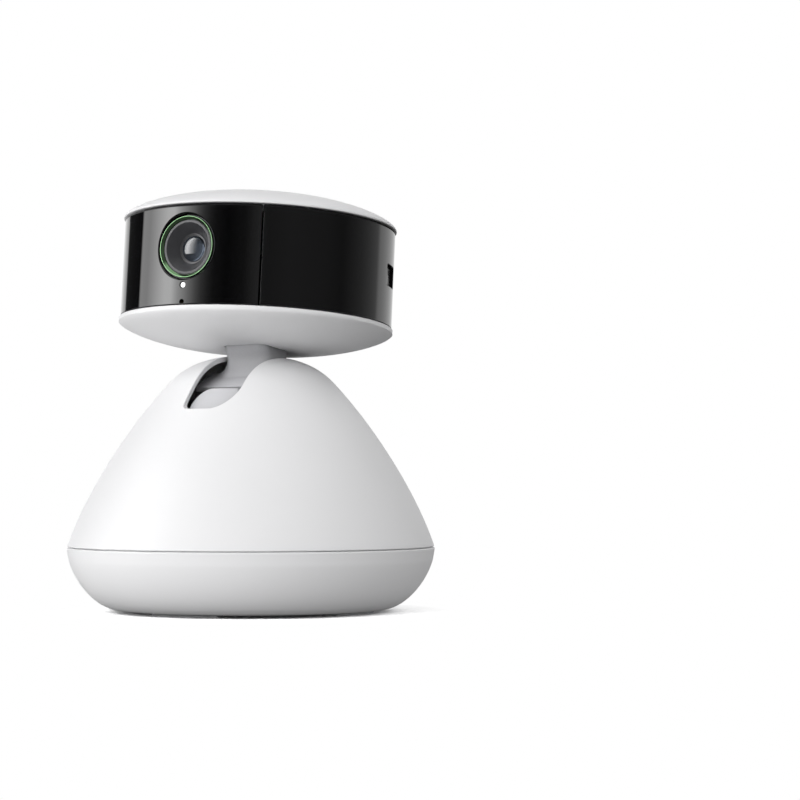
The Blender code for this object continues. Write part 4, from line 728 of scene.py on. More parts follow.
# Neck and shield
def neck_outline(over, fillet, shift=0.0, count=9):
    """The neck's plan, grown by a margin all round and shifted forwards."""
    middle = (NECK_BACK - NECK_FRONT) / 2 - shift
    return rounded_rectangle(NECK_WIDTH + 2 * over, NECK_FRONT + NECK_BACK + 2 * over, fillet,
                             (NECK_MIDDLE, middle), count)


def make_neck():
    """The neck: a bar that narrows to a throat, which flares out where it meets the shield.

    The throat's front lies further back on the right, where the tongue passes it. Each section
    of the flare is the throat's plan, widened by a share of the flare, on a slice that follows
    the shield's drum: the share falls and the slice rises as a quarter circle. From the throat
    to the bar the plan changes along a smooth step.
    """
    top = HEAD_RISE + NECK_PAD_TOP + GAP + NECK_FLANGE_THICKNESS
    plan = neck_outline(0, NECK_EDGE, count=13)
    front = np.interp(plan[:, 0], (NECK_MIDDLE - NECK_WIDTH / 2, NECK_MIDDLE + NECK_WIDTH / 2),
                      (NECK_THROAT_LEFT, NECK_THROAT_RIGHT))
    throat = np.column_stack([plan[:, 0], NECK_BACK + (plan[:, 1] - NECK_BACK) * (front + NECK_BACK)
                              / (NECK_FRONT + NECK_BACK)])
    away = outward(throat)
    run = np.column_stack([np.where(away[:, 0] > 0, FLARE_RIGHT, FLARE_SIDE),
                           np.where(away[:, 1] > 0, FLARE_SIDE, FLARE_FRONT)])

    def section(share, rise):
        spots = throat + away * run * share
        return np.column_stack([spots, np.sqrt(SHIELD_RADIUS ** 2 - spots[:, 1] ** 2) + rise])

    foot = throat * (1, NECK_FOOT_DEPTH_SHARE) + (0, NECK_FOOT_BACK)
    sections = [level(foot, NECK_FOOT_HEIGHT), level(throat, NECK_STEM_HEIGHT),
                section(0, -FLARE_SUNK[0]), section(1, -FLARE_SUNK[1])]
    for turn in np.linspace(0, math.pi / 2, 17):
        sections.append(section(1 - math.sin(turn), FLARE_RISE * (1 - math.cos(turn))))
    low, high = sections[-1], level(plan, NECK_THROAT_TOP)
    for share in np.linspace(0, 1, 9)[1:]:
        slide = share * share * (3 - 2 * share)
        sections.append(low + (high - low) * (slide, slide, share))
    sections.append(level(plan, top))
    bore = AXLE_RADIUS + GAP
    hub = turned(filleted([(NECK_HUB_RADIUS, -NECK_HUB_HALF, EDGE),
                           (NECK_HUB_RADIUS, NECK_HUB_HALF, EDGE),
                           (bore, NECK_HUB_HALF, FINE_EDGE), (bore, -NECK_HUB_HALF, FINE_EDGE)]))
    hub = moved(hub, Matrix.Translation((NECK_MIDDLE, 0, 0)) @ Matrix.Rotation(math.pi / 2, 4, "Y"))
    flange = plate(neck_outline(NECK_FLANGE_OVER - EDGE, NECK_FLANGE_OVER - EDGE),
                   NECK_FLANGE_THICKNESS, EDGE)
    flange = moved(flange, Matrix.Translation((0, 0, top)))
    return moved(joined(lofted(sections), hub, flange), TILT)


def plate(outline, thickness, edge):
    """A flat plate under z = 0 with round upper edges, from an anticlockwise outline."""
    def place(spots, depth):
        return level(spots, -depth)

    return shell(outline, [list(range(len(outline)))], place, thickness, edge)


def make_shield():
    """The curved shield under the neck's flared foot: x and the arc length round the tilt axis."""
    columns = np.linspace(SHIELD_LEFT + FINE_EDGE, SHIELD_RIGHT - FINE_EDGE, 40)
    rows = np.linspace(FINE_EDGE - SHIELD_RADIUS * SHIELD_FRONT_ANGLE,
                       SHIELD_RADIUS * SHIELD_REAR_ANGLE - FINE_EDGE, 90)
    flat, faces = grid_sheet(columns, rows)

    def place(spots, depth):
        angle = spots[:, 1] / SHIELD_RADIUS
        radius = SHIELD_RADIUS - depth
        return np.column_stack([spots[:, 0], radius * np.sin(angle), radius * np.cos(angle)])

    return moved(shell(flat, faces, place, SHIELD_WALL, FINE_EDGE), TILT)


# Head
def make_underside():
    """The dished cover under the head with its rim, pierced for the neck.

    The dish is a superellipse of the radius's share, and the rim two straight lines after it.
    """
    radius = DISH_RADIUS * np.sin(np.linspace(0, math.pi / 2, 100))
    share = radius / DISH_RADIUS
    dish = DISH_TOP - DISH_DEPTH * (1 - share ** DISH_FLAT_POWER) ** DISH_ROUND_POWER
    profile = np.vstack([np.column_stack([radius, dish]),
                         straight((DISH_RADIUS, DISH_TOP), (RIM_RADIUS, RIM_FOOT), 6)[1:],
                         straight((RIM_RADIUS, RIM_FOOT), (RIM_RADIUS, RIM_TOP), 8)[1:]])
    inside = BAND_RADIUS - BAND_WALL - GAP - DISH_WALL
    inner = np.column_stack([profile[:, 0] * inside / RIM_RADIUS,
                             np.minimum(profile[:, 1] + DISH_WALL, RIM_TOP)])
    last = 8
    inner[-last:] = straight(inner[-last - 1], (inside, RIM_TOP), last + 1)[1:]
    place, length = turned_surface(profile, inner, DISH_WALL, -1)
    hole = neck_outline(GAP + FINE_EDGE, NECK_EDGE + GAP + FINE_EDGE, HEAD_BACK_SET, 13)
    loop = flattened(hole, profile[:, 0], length)
    flat, faces = ring_sheet(loop, rim_circle(loop, length[-1] - FINE_EDGE), 60)
    cover = shell(flat, faces, place, DISH_WALL, FINE_EDGE)
    pad = pierced_plate(neck_outline(NECK_FLANGE_OVER, NECK_FLANGE_OVER, HEAD_BACK_SET), hole,
                        DISH_TOP - DISH_DEPTH + DISH_WALL / 2, NECK_PAD_TOP)
    return moved(joined(cover, pad), HEAD)


def pierced_plate(outline, hole, low, high):
    """An upright-walled pad between two heights, with a hole through it."""
    rim = match(outline, hole, box_middle(hole))
    points = np.vstack([level(hole, low), level(rim, low), level(rim, high), level(hole, high)])
    return points, closed_rings(np.arange(len(points)).reshape(4, -1))


def round_hole(radius, height):
    """A round hole drilled along Y through the drum, on its (arc length, height) map."""
    circle = arc((0, height), radius, 0, 360 - 360 / HOLE_POINTS, HOLE_POINTS)
    return np.column_stack([BAND_RADIUS * np.arcsin(circle[:, 0] / BAND_RADIUS), circle[:, 1]])


def make_window():
    """The glossy front panel, pierced for the lens, the status light and the microphone."""
    left = BAND_RADIUS * WINDOW_LEFT + FINE_EDGE
    right = BAND_RADIUS * WINDOW_RIGHT - FINE_EDGE
    small, large = LIGHT_HOLE * LIGHT_CELL_SHARE, LENS_HOLE * LENS_CELL_SHARE
    columns = divided((left, -large, -small, small, large, right), (13, 13, 8, 13, 11))
    foot = BAND_BOTTOM + FINE_EDGE
    between = (LIGHT_HEIGHT + MIC_HEIGHT) / 2
    lens_foot = LENS_HEIGHT - LENS_HOLE - 2 * LENS_HOLE_EDGE
    rows = divided((foot, between, lens_foot, BAND_TOP - BAND_CHAMFER), (8, 8, 29))
    mic = round_hole(MIC_HOLE + MIC_HOLE_EDGE, MIC_HEIGHT)
    mic[:, 1] = np.maximum(mic[:, 1], MIC_FLOOR)
    holes = [(-small, small, foot, between, mic),
             (-small, small, between, lens_foot, round_hole(LIGHT_HOLE + FINE_EDGE, LIGHT_HEIGHT)),
             (-large, large, lens_foot, BAND_TOP - BAND_CHAMFER,
              round_hole(LENS_HOLE + LENS_HOLE_EDGE, LENS_HEIGHT))]
    flat, faces = grid_sheet(columns, rows, holes)

    def edge(spots):
        at_lens = np.hypot(spots[:, 0], spots[:, 1] - LENS_HEIGHT) < LENS_HOLE + 2 * LENS_HOLE_EDGE
        at_mic = np.hypot(spots[:, 0], spots[:, 1] - MIC_HEIGHT) < MIC_HOLE + 2 * MIC_HOLE_EDGE
        at_mic &= spots[:, 1] > foot + MIC_HOLE_EDGE
        hole_edge = np.where(at_lens, LENS_HOLE_EDGE, np.where(at_mic, MIC_HOLE_EDGE, FINE_EDGE))
        return chamfered(hole_edge, spots)

    return moved(shell(flat, faces, drum_surface(BAND_RADIUS), BAND_WALL, edge, steps=1), HEAD)


def chamfered(edge, spots):
    """The reach across and up of the band's edges: wide at its top, and as given elsewhere."""
    at_top = spots[:, 1] > BAND_TOP - BAND_CHAMFER - FINE_EDGE
    return np.column_stack([edge, np.where(at_top, BAND_CHAMFER, edge)])


def make_rear_band():
    """The glossy band round the rest of the head, with the key's window and the speaker's slots."""
    start = BAND_RADIUS * WINDOW_RIGHT + BAND_SEAM + FINE_EDGE
    end = BAND_RADIUS * (WINDOW_LEFT + math.tau) - BAND_SEAM - FINE_EDGE
    key = BAND_RADIUS * KEY_AZIMUTH
    key_cell = KEY_WINDOW[0] * KEY_CELL_SHARE
    rear = BAND_RADIUS * math.pi
    grille = SPEAKER_SLOTS / 2 * SPEAKER_SLOT_PITCH
    columns = divided((start, key - key_cell, key + key_cell, rear - grille, rear + grille, end),
                      (43, 14, 29, SPEAKER_SLOTS * 4, 59))
    low = SPEAKER_HEIGHT - SPEAKER_SLOT[1] / 2 - SPEAKER_SLOT[0]
    high = SPEAKER_HEIGHT + SPEAKER_SLOT[1] / 2 + SPEAKER_SLOT[0]
    rows = divided((BAND_BOTTOM + FINE_EDGE, low, high, BAND_TOP - BAND_CHAMFER), (7, 14, 7))
    grow = 2 * FINE_EDGE
    holes = [(key - key_cell, key + key_cell, low, high,
              rounded_rectangle(KEY_WINDOW[0] + grow, KEY_WINDOW[1] + grow, KEY_CLEARANCE + FINE_EDGE,
                                (key, KEY_HEIGHT)))]
    for index in range(SPEAKER_SLOTS):
        middle = rear + (index - (SPEAKER_SLOTS - 1) / 2) * SPEAKER_SLOT_PITCH
        half = SPEAKER_SLOT_PITCH / 2
        slot = rounded_rectangle(SPEAKER_SLOT[0] + grow, SPEAKER_SLOT[1] + grow, SPEAKER_SLOT[0] / 2,
                                 (middle, SPEAKER_HEIGHT))
        holes.append((middle - half, middle + half, low, high, slot))
    flat, faces = grid_sheet(columns, rows, holes)

    def edge(spots):
        return chamfered(np.full(len(spots), FINE_EDGE), spots)

    return moved(shell(flat, faces, drum_surface(BAND_RADIUS), BAND_WALL, edge, steps=1), HEAD)


def make_cap():
    """The domed lid, a turned superellipse, with its overhanging lip and the spigot in the band."""
    share = np.sin(np.linspace(0, math.pi / 2, 90))
    dome = np.column_stack([CAP_RADIUS * share,
                            CAP_EDGE + CAP_RISE * (1 - share ** 2) ** CAP_ROUND_POWER])
    inside = CAP_SPIGOT_RADIUS - CAP_WALL
    foot = BAND_TOP - CAP_SPIGOT_DEPTH
    under = np.array([(CAP_RADIUS, CAP_LIP + FINE_EDGE), (CAP_RADIUS - FINE_EDGE, CAP_LIP),
                      (CAP_SPIGOT_RADIUS, CAP_LIP), (CAP_SPIGOT_RADIUS, foot), (inside, foot)])
    inner_share = share[::-3]
    inner = np.column_stack([inside * inner_share,
                             CAP_EDGE - CAP_WALL + CAP_RISE * (1 - inner_share ** 2) ** CAP_ROUND_POWER])
    inner[-1, 0] = 0
    dome[0, 0] = 0
    return moved(turned(np.vstack([dome, under, inner]), TURN_SEGMENTS), HEAD)


# Lens, light and key
def make_barrel():
    """The turned barrel: a flat face inside the ring, then a funnel that ends in small steps."""
    corners = [(BARREL_RADIUS, -BARREL_FRONT, TRIM_EDGE), (BARREL_RADIUS, -BARREL_NECK, 0),
               (BARREL_TAIL_RADIUS, -BARREL_NECK, 0), (BARREL_TAIL_RADIUS, -BARREL_TAIL, EDGE),
               (BARREL_BORE, -BARREL_TAIL, FINE_EDGE), (BARREL_BORE, -FUNNEL_FOOT_DEPTH, HAIR_EDGE)]
    for step in range(FUNNEL_STEPS):
        radius = BARREL_BORE + (step + 1) * FUNNEL_STEP
        height = step * FUNNEL_RISE - FUNNEL_FOOT_DEPTH
        corners += [(radius, height, HAIR_EDGE), (radius, height + FUNNEL_RISE, HAIR_EDGE)]
    inner, outer = RING_INNER - RING_INNER_GAP, RING_OUTER + RING_OUTER_GAP
    corners += [(FUNNEL_RADIUS, -FACE_DEPTH, FINE_EDGE), (inner, -FACE_DEPTH, TRIM_EDGE),
                (inner, -RING_SEAT - GAP, 0), (outer, -RING_SEAT - GAP, 0),
                (outer, -BARREL_FRONT, TRIM_EDGE)]
    return moved(turned(filleted(corners), LENS_SEGMENTS), LENS)


def make_ring():
    """The tinted ring, whose front face slopes in towards the lens."""
    corners = [(RING_OUTER, -RING_SEAT, 0), (RING_OUTER, -RING_FRONT, TRIM_EDGE),
               (RING_OUTER - RING_LAND, -RING_FRONT, TRIM_EDGE),
               (RING_INNER, -RING_BACK, TRIM_EDGE), (RING_INNER, -RING_SEAT, 0)]
    return moved(turned(filleted(corners), LENS_SEGMENTS), LENS)


def domed_rod(radius, face, bulge, back, steps, segments):
    """A straight rod whose front is a quarter ellipse turned round the axis."""
    turn = np.linspace(0, math.pi / 2, steps)[:-1]
    dome = np.column_stack([radius * np.sin(turn), -face - bulge * (1 - np.cos(turn))])
    rim = np.array([(radius, -face - bulge), (radius, -back), (0, -back)])
    return turned(np.vstack([dome, rim]), segments)


def make_glass(face, bulge, back):
    """A lens element: a shallow elliptical dome on a straight rim."""
    return moved(domed_rod(LENS_RADIUS, face, bulge, back, 33, 128), LENS)


def make_light():
    """The status light's pipe, with a low dome at the window's face."""
    pipe = domed_rod(LIGHT_RADIUS, LIGHT_FACE, LIGHT_DOME, LIGHT_LENGTH, 9, 48)
    return moved(pipe, LENS @ Matrix.Translation((0, LIGHT_HEIGHT - LENS_HEIGHT, 0)))


def make_key():
    """The push key: a block with round edges in the band's window, on a flange behind the wall."""
    width, height = KEY_WINDOW
    inset = 2 * KEY_CLEARANCE + 2 * EDGE
    block = plate(rounded_rectangle(width - inset, height - inset, KEY_CLEARANCE),
                  KEY_FLANGE_FACE - KEY_RECESS + GAP, EDGE)
    grow = KEY_FLANGE - 2 * FINE_EDGE
    flange = plate(rounded_rectangle(width + grow, height + grow, KEY_CLEARANCE),
                   KEY_FLANGE_THICKNESS, FINE_EDGE)
    flange = moved(flange, Matrix.Translation((0, 0, KEY_RECESS - KEY_FLANGE_FACE)))
    seat = Matrix.Translation((0, KEY_RECESS - BAND_RADIUS, KEY_HEIGHT))
    face = seat @ Matrix.Rotation(math.pi / 2, 4, "X")
    return moved(joined(block, flange), HEAD @ Matrix.Rotation(KEY_AZIMUTH, 4, "Z") @ face)


# Finishes
def linear(code):
    """Linear colour from an sRGB hex code."""
    channels = [int(code[index:index + 2], 16) / 255 for index in (1, 3, 5)]
    return tuple(c / 12.92 if c <= 0.04045 else ((c + 0.055) / 1.055) ** 2.4 for c in channels) + (1.0,)


def add(tree, kind, inputs, **settings):
    """Add a node whose inputs are set, or linked where a socket is given; returns its outputs.

    Sockets are named, or numbered where names repeat: a colour mix reads 6 and 7 and gives 2.
    """
    node = tree.nodes.new(kind)
    for name, value in settings.items():
        setattr(node, name, value)
    for key, value in inputs.items():
        if isinstance(value, bpy.types.NodeSocket):
            tree.links.new(value, node.inputs[key])
        else:
            node.inputs[key].default_value = value
    return node.outputs


def new_material(name):
    """A new material, its node tree and its shader's inputs."""
    made = bpy.data.materials.new(name)
    made.use_nodes = True
    return made, made.node_tree, made.node_tree.nodes["Principled BSDF"].inputs


def noise(tree, size, stretch=(1, 1, 1)):
    """Noise in the piece's own frame, with features of a size in metres."""
    place = add(tree, "ShaderNodeTexCoord", {})["Object"]
    scale = tuple(1 / (size * share) for share in stretch)
    scaled = add(tree, "ShaderNodeVectorMath", {0: place, 1: scale}, operation="MULTIPLY")[0]
    return add(tree, "ShaderNodeTexNoise", {"Vector": scaled, "Scale": 1.0, "Detail": 2.0})[0]


def finish(name, colours, gloss, size, grain=None, stretch=(1, 1, 1), rings=None, shade=None, **inputs):
    """A finish whose colour and roughness drift between two values, with a grain in its surface.

    The drift's features have a size in metres. The grain is (size, depth) in metres, and rings
    are (pitch, depth) of turned grooves round the lens's axis, a sine of the distance from it.
    Shade is (distance, colour) of the painted shade that darkens the colour in narrow recesses. Other
    inputs are plain.
    """
    made, tree, shader = new_material(name)
    drift = add(tree, "ShaderNodeMapRange",
                {0: noise(tree, size, stretch), 1: DRIFT_SPAN[0], 2: DRIFT_SPAN[1]})[0]
    colour = add(tree, "ShaderNodeMix", {0: drift, 6: linear(colours[0]), 7: linear(colours[1])},
                 data_type="RGBA")[2]
    # Painted shade: the colour mixes towards the shade colour where ambient occlusion finds a narrow
    # recess
    if shade:
        sky = add(tree, "ShaderNodeAmbientOcclusion", {"Distance": shade[0]}, samples=8)[1]
        share = add(tree, "ShaderNodeMapRange", {0: sky, 1: SHADE_SPAN[0], 2: SHADE_SPAN[1]})[0]
        colour = add(tree, "ShaderNodeMix", {0: share, 6: linear(shade[1]), 7: colour},
                     data_type="RGBA")[2]
    tree.links.new(colour, shader["Base Color"])
    roughness = add(tree, "ShaderNodeMapRange", {0: drift, 3: gloss[0], 4: gloss[1]})[0]
    tree.links.new(roughness, shader["Roughness"])
    if grain:
        height, depth = noise(tree, grain[0], stretch), grain[1]
    if rings:
        place = add(tree, "ShaderNodeTexCoord", {})["Object"]
        from_axis = add(tree, "ShaderNodeVectorMath", {0: place, 1: LENS.translation},
                        operation="SUBTRACT")[0]
        across = add(tree, "ShaderNodeVectorMath", {0: from_axis, 1: LENS.col[2].xyz},
                     operation="CROSS_PRODUCT")[0]
        reach = add(tree, "ShaderNodeVectorMath", {0: across}, operation="LENGTH")[1]
        turn = add(tree, "ShaderNodeMath", {0: reach, 1: math.tau / rings[0]}, operation="MULTIPLY")[0]
        height, depth = add(tree, "ShaderNodeMath", {0: turn}, operation="SINE")[0], rings[1]
    if grain or rings:
        bump = add(tree, "ShaderNodeBump", {"Height": height, "Distance": depth})[0]
        tree.links.new(bump, shader["Normal"])
    for key, value in inputs.items():
        shader[key.replace("_", " ")].default_value = value
    return made


def circuit_board():
    """Green solder mask over copper: paler square islands, a little higher than the rest."""
    made, tree, shader = new_material("green_solder_mask")
    place = add(tree, "ShaderNodeTexCoord", {})["Object"]
    cells = add(tree, "ShaderNodeTexVoronoi", {"Vector": place, "Scale": 1 / BOARD_PITCH},
                distance="CHEBYCHEV")[0]
    copper = add(tree, "ShaderNodeMapRange",
                 {0: cells, 1: COPPER_SPAN[0], 2: COPPER_SPAN[1], 3: 1.0, 4: 0.0})[0]
    colour = add(tree, "ShaderNodeMix", {0: copper, 6: linear("#0F3D26"), 7: linear("#1D6B43")},
                 data_type="RGBA")[2]
    tree.links.new(colour, shader["Base Color"])
    bump = add(tree, "ShaderNodeBump", {"Height": copper, "Distance": COPPER_THICKNESS})[0]
    tree.links.new(bump, shader["Normal"])
    shader["Roughness"].default_value = BOARD_ROUGHNESS
    return made


FINISHES = {
    # Satin ABS housing: a clean cool white with soft, wide highlights
    "white_housing": finish("satin_abs", ("#EEEEEF", "#ECECED"), (0.5, 0.54), 0.03, (0.0004, 0.000002)),
    # White plastic of the moving parts: a greyer white that is partly painted shade, duller, with painted
    # shade darker down in the slot
    "white_mechanism": finish("grey_white_plastic_painted_shade", ("#D0D0D3", "#CCCCCF"), (0.42, 0.47), 0.02,
                              (0.0004, 0.000003), shade=(0.008, "#8A8A8D")),
    # ABS base plate with a spark-eroded grain that takes the shine off
    "white_plate": finish("grained_abs", ("#DFDFE0", "#D9D9DB"), (0.5, 0.6), 0.02, (0.0005, 0.00002)),
    # Silicone feet: pale grey and dull, with a faint milky shine
    "foot_pad": finish("grey_silicone", ("#CACBCC", "#C2C3C5"), (0.6, 0.72), 0.006, (0.0003, 0.000006)),
    # Tinted acrylic window: deep black with mirror-sharp reflections
    "black_window": finish("tinted_acrylic", ("#030304", "#040405"), (0.02, 0.03), 0.02),
    # Piano-black ABS band: as black, with its reflections slightly softer than the window's
    "black_band": finish("polished_black_abs", ("#050506", "#070708"), (0.035, 0.05), 0.02),
    # Black ABS key: black like the band, darkened a little further as painted shade of its recess, with a
    # satin face
    "key_plastic": finish("satin_black_abs", ("#0D0D0E", "#101011"), (0.2, 0.26), 0.004,
                          (0.0003, 0.00001)),
    # Black anodised aluminium barrel: charcoal, with turned grooves that catch the light in rings
    "lens_black": finish("anodised_aluminium", ("#343437", "#3B3B3E"), (0.34, 0.42), 0.004,
                         rings=(0.0002, 0.000004)),
    # Green-tinted metal ring: bright pale green where its chamfer faces the light
    "lens_tint": finish("tinted_aluminium", ("#6F906B", "#789A74"), (0.1, 0.14), 0.003, **METAL),
    # Coated glass: clear, with reflections of the studio, and a grey-blue colour on its unclear share
    # that is a painted bluish reflection
    "lens_glass": finish("coated_glass", ("#545C68", "#5C6470"), (0.03, 0.05), 0.004, IOR=1.6,
                         Transmission_Weight=0.8),
    # Silicon sensor: nearly black with a violet sheen
    "sensor_chip": finish("silicon", ("#14161F", "#1B1A26"), (0.12, 0.2), 0.002, Metallic=0.4),
    # Opal polycarbonate light pipe: a lit white dot
    "light_pipe": finish("opal_polycarbonate", ("#F4F4F4", "#FAFAFA"), (0.3, 0.36), 0.001,
                         Emission_Color=linear("#FFFFFF"), Emission_Strength=1.0),
    # Glass-filled nylon frame: black-grey, dull, with a mottle of fibres
    "dark_frame": finish("glass_filled_nylon", ("#242527", "#2E2F31"), (0.48, 0.66), 0.003,
                         (0.0002, 0.000012), (3.0, 1.0, 1.0)),
    # Acetal gears: ivory white with a waxy shine
    "gear_plastic": finish("acetal", ("#E8E5DB", "#E1DED2"), (0.3, 0.38), 0.004, (0.0005, 0.000004)),
    # Nickel-plated steel motor cans: warm grey metal with drawing marks along the can
    "motor_steel": finish("nickel_plated_steel", ("#BDBAB3", "#C8C5BE"), (0.26, 0.38), 0.003,
                          (0.0002, 0.000002), (1.0, 1.0, 6.0), **METAL),
    # Ground steel axle and clips: bright, with fine grinding marks
    "axle_steel": finish("ground_steel", ("#C3C4C6", "#CDCED0"), (0.16, 0.28), 0.002,
                         (0.00008, 0.000001), (0.3, 4.0, 4.0), **METAL),
    # Zinc-plated screws: bluish metal, cloudy from tumbling
    "screw_steel": finish("zinc_plated_steel", ("#AEB3BA", "#BDC1C6"), (0.28, 0.45), 0.0015,
                          (0.0002, 0.000004), **METAL),
    # Phosphated steel ballast: a dark metal, mottled and nearly matt
    "ballast_steel": finish("phosphated_steel", ("#3F4042", "#505153"), (0.5, 0.68), 0.004,
                            (0.0003, 0.00001), Metallic=0.8),
    # Sintered bronze bushes: brown metal with an open, oily grain
    "bearing_bronze": finish("sintered_bronze", ("#94693F", "#AB7F51"), (0.36, 0.55), 0.0008,
                             (0.0001, 0.00001), **METAL),
    # Solder mask on the boards: glossy dark green with paler copper islands
    "circuit_board": circuit_board(),
    # Moulded epoxy and nylon component bodies: matt charcoal
    "black_component": finish("moulded_epoxy", ("#161718", "#1D1E20"), (0.55, 0.7), 0.002,
                              (0.00015, 0.000008)),
    # Gold-flashed microphone can: pale yellow metal
    "microphone_can": finish("gold_flashed_brass", ("#D6C18A", "#DECB98"), (0.22, 0.34), 0.001, **METAL),
}

# Build
piece("base_bowl", make_bowl(), "base", "base_shell", "white_housing")
for index, side in enumerate(("front", "right", "rear", "left")):
    piece(f"pad_{side}", make_foot(math.pi / 2 * index), "base", f"foot_{side}", "foot_pad")
piece("cone", make_cone(), "turret", "cone_shell", "white_housing")
piece("tongue", make_tongue(), "turret", "slot_tongue", "white_mechanism")
piece("neck_bar", make_neck(), "head", "neck", "white_mechanism")
piece("shield", make_shield(), "head", "slot_shield", "white_mechanism")
piece("underside", make_underside(), "head", "head_underside", "white_housing")
piece("window", make_window(), "head", "front_window", "black_window")
piece("band", make_rear_band(), "head", "rear_band", "black_band")
piece("cap", make_cap(), "head", "head_cap", "white_housing")
piece("barrel", make_barrel(), "head", "lens_barrel", "lens_black")
piece("barrel_ring", make_ring(), "head", "lens_ring", "lens_tint")
piece("glass_front", make_glass(FRONT_LENS_FACE, FRONT_LENS_BULGE, FRONT_LENS_BACK), "head", "front_lens",
      "lens_glass")
piece("glass_rear", make_glass(REAR_LENS_FACE, REAR_LENS_BULGE, REAR_LENS_BACK), "head", "rear_lens",
      "lens_glass")
piece("light_dot", make_light(), "head", "status_light", "light_pipe")
piece("push_key", make_key(), "key", "side_key", "key_plastic")
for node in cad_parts.values():
    for held in node.material_slots:
        held.material = FINISHES[held.material.name]


def make_camera():
    """The photograph's camera: low, to the right of the lens, with a long focal length."""
    data = bpy.data.cameras.new("photo_camera")
    data.sensor_width = SENSOR_WIDTH
    data.lens = SENSOR_WIDTH * FOCAL_PIXELS / IMAGE_PIXELS
    camera = placed("photo_camera", data)
    camera.location = (CAMERA_DISTANCE * math.sin(CAMERA_AZIMUTH),
                       -CAMERA_DISTANCE * math.cos(CAMERA_AZIMUTH), CAMERA_HEIGHT)
    ahead = Vector((-math.sin(CAMERA_HEADING) * math.cos(CAMERA_PITCH),
                    math.cos(CAMERA_HEADING) * math.cos(CAMERA_PITCH), math.sin(CAMERA_PITCH)))
    camera.rotation_euler = ahead.to_track_quat("-Z", "Y").to_euler()
    bpy.context.scene.camera = camera


def make_world():
    """The studio: white to the camera, soft lobes of light for shading, and panels for mirrors.

    A panel is an azimuth in degrees, from the front (-Y) towards +X, and a radiance, which runs
    evenly to the next panel's. A lobe is an azimuth and a rise in degrees, a power and a
    radiance: its light is the cosine of the angle from its middle, raised to that power.
    """
    world = bpy.data.worlds.new("studio")
    bpy.context.scene.world = world
    world.use_nodes = True
    world.cycles.sampling_method = "NONE"
    tree = world.node_tree
    way = add(tree, "ShaderNodeTexCoord", {})["Generated"]
    part = add(tree, "ShaderNodeSeparateXYZ", {0: way})
    ahead = add(tree, "ShaderNodeMath", {0: part[1], 1: -1.0}, operation="MULTIPLY")[0]
    azimuth = add(tree, "ShaderNodeMath", {0: part[0], 1: ahead}, operation="ARCTAN2")[0]
    turn = add(tree, "ShaderNodeMapRange", {0: azimuth, 1: -math.pi, 2: math.pi})[0]
    panels = add(tree, "ShaderNodeValToRGB", {0: turn})
    ramp = panels[0].node.color_ramp
    for index, (degrees, radiance) in enumerate(PANELS):
        if index < 2:
            stop = ramp.elements[index]
            stop.position = index
        else:
            stop = ramp.elements.new(degrees / 360 + 0.5)
        share = radiance / PANEL_PEAK
        stop.color = (share, share, share, 1)
    above = add(tree, "ShaderNodeMapRange", {0: part[2], 1: PANEL_TOP[0], 2: PANEL_TOP[1]})[0]
    mirrored = add(tree, "ShaderNodeMix", {0: above, 6: panels[0], 7: (1 / PANEL_PEAK,) * 3 + (1,)},
                   data_type="RGBA")[2]
    bright = add(tree, "ShaderNodeVectorMath", {0: mirrored, 1: (PANEL_PEAK,) * 3},
                 operation="MULTIPLY")[0]
    glow = 0.0
    for degrees, rise, power, radiance in LOBES:
        facing = add(tree, "ShaderNodeVectorMath", {0: way, 1: direction(degrees, rise)},
                     operation="DOT_PRODUCT")[1]
        facing = add(tree, "ShaderNodeMath", {0: facing, 1: 0.0}, operation="MAXIMUM")[0]
        lobe = add(tree, "ShaderNodeMath", {0: facing, 1: power}, operation="POWER")[0]
        glow = add(tree, "ShaderNodeMath", {0: lobe, 1: radiance, 2: glow}, operation="MULTIPLY_ADD")[0]
    path = add(tree, "ShaderNodeLightPath", {})
    dome = add(tree, "ShaderNodeMix", {0: path["Is Diffuse Ray"], 2: 1.0, 3: glow})[0]
    seen = add(tree, "ShaderNodeMix", {0: path["Is Glossy Ray"], 6: dome, 7: bright},
               data_type="RGBA")[2]
    tree.links.new(seen, tree.nodes["Background"].inputs["Color"])


def direction(degrees, rise):
    """The unit vector of an azimuth from the front towards +X and a rise, in degrees."""
    azimuth, rise = math.radians(degrees), math.radians(rise)
    return Vector((math.sin(azimuth) * math.cos(rise), -math.cos(azimuth) * math.cos(rise),
                   math.sin(rise)))


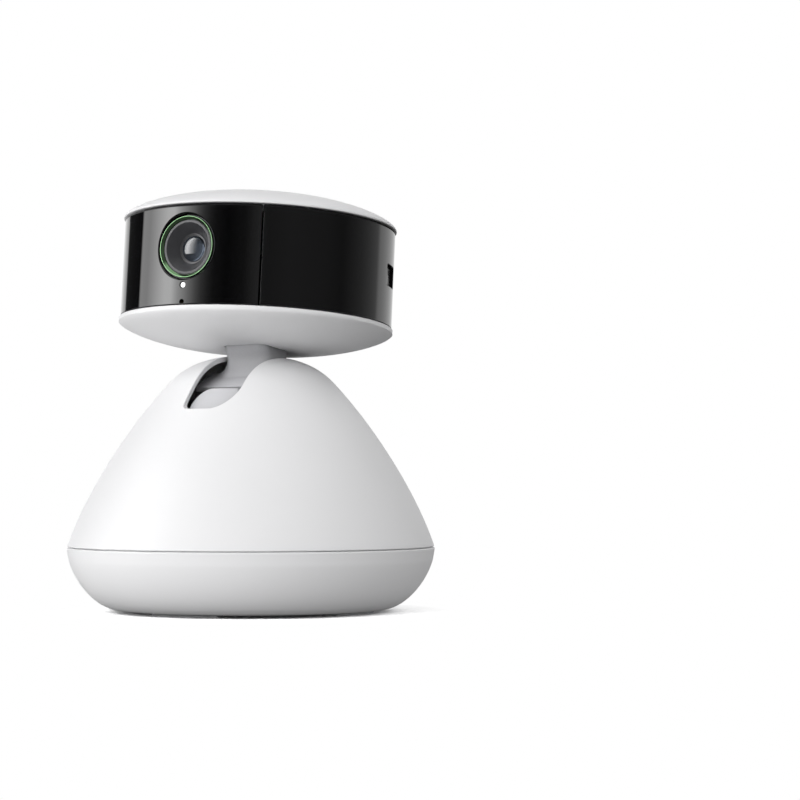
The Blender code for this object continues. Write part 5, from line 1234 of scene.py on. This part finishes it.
def make_floor():
    """A white sweep: overexposed to the camera, so that only the contact shadow shows on it.

    To the object it glows, more on one side, and not under the base.
    """
    mesh = bpy.data.meshes.new("floor")
    half = FLOOR_SIZE / 2
    corners = [(-half, -half, 0), (half, -half, 0), (half, half, 0), (-half, half, 0)]
    mesh.from_pydata(corners, [], [(0, 1, 2, 3)])
    floor = placed("floor", mesh)
    paper = bpy.data.materials.new("white_paper")
    paper.use_nodes = True
    tree = paper.node_tree
    tree.nodes.clear()
    place = add(tree, "ShaderNodeTexCoord", {})["Object"]
    across = add(tree, "ShaderNodeVectorMath", {0: place, 1: direction(FLOOR_RIGHT, 0)},
                 operation="DOT_PRODUCT")[1]
    side = add(tree, "ShaderNodeMapRange", {0: across, 1: -FLOOR_FADE, 2: FLOOR_FADE,
                                            3: FLOOR_GLOW[0], 4: FLOOR_GLOW[1]})[0]
    reach = add(tree, "ShaderNodeVectorMath", {0: place}, operation="LENGTH")[1]
    clear = add(tree, "ShaderNodeMapRange", {0: reach, 1: FLOOR_DARK[0], 2: FLOOR_DARK[1]})[0]
    glow = add(tree, "ShaderNodeMath", {0: side, 1: clear}, operation="MULTIPLY")[0]
    lit = add(tree, "ShaderNodeEmission", {"Strength": glow})[0]
    matt = add(tree, "ShaderNodeBsdfDiffuse", {"Color": (FLOOR_SEEN,) * 3 + (1,)})[0]
    white = add(tree, "ShaderNodeEmission", {"Strength": 1.0})[0]
    away = add(tree, "ShaderNodeMapRange", {0: reach, 1: FLOOR_WHITE[0], 2: FLOOR_WHITE[1]})[0]
    near = add(tree, "ShaderNodeMixShader", {0: away, 1: matt, 2: white})[0]
    path = add(tree, "ShaderNodeLightPath", {})
    mirrored = add(tree, "ShaderNodeEmission", {"Strength": FLOOR_MIRRORED})[0]
    other = add(tree, "ShaderNodeMixShader", {0: path["Is Glossy Ray"], 1: lit, 2: mirrored})[0]
    seen = add(tree, "ShaderNodeMixShader", {0: path["Is Camera Ray"], 1: other, 2: near})[0]
    add(tree, "ShaderNodeOutputMaterial", {"Surface": seen})
    mesh.materials.append(paper)


make_camera()
make_world()
make_floor()
bpy.context.scene.view_settings.view_transform = "Standard"
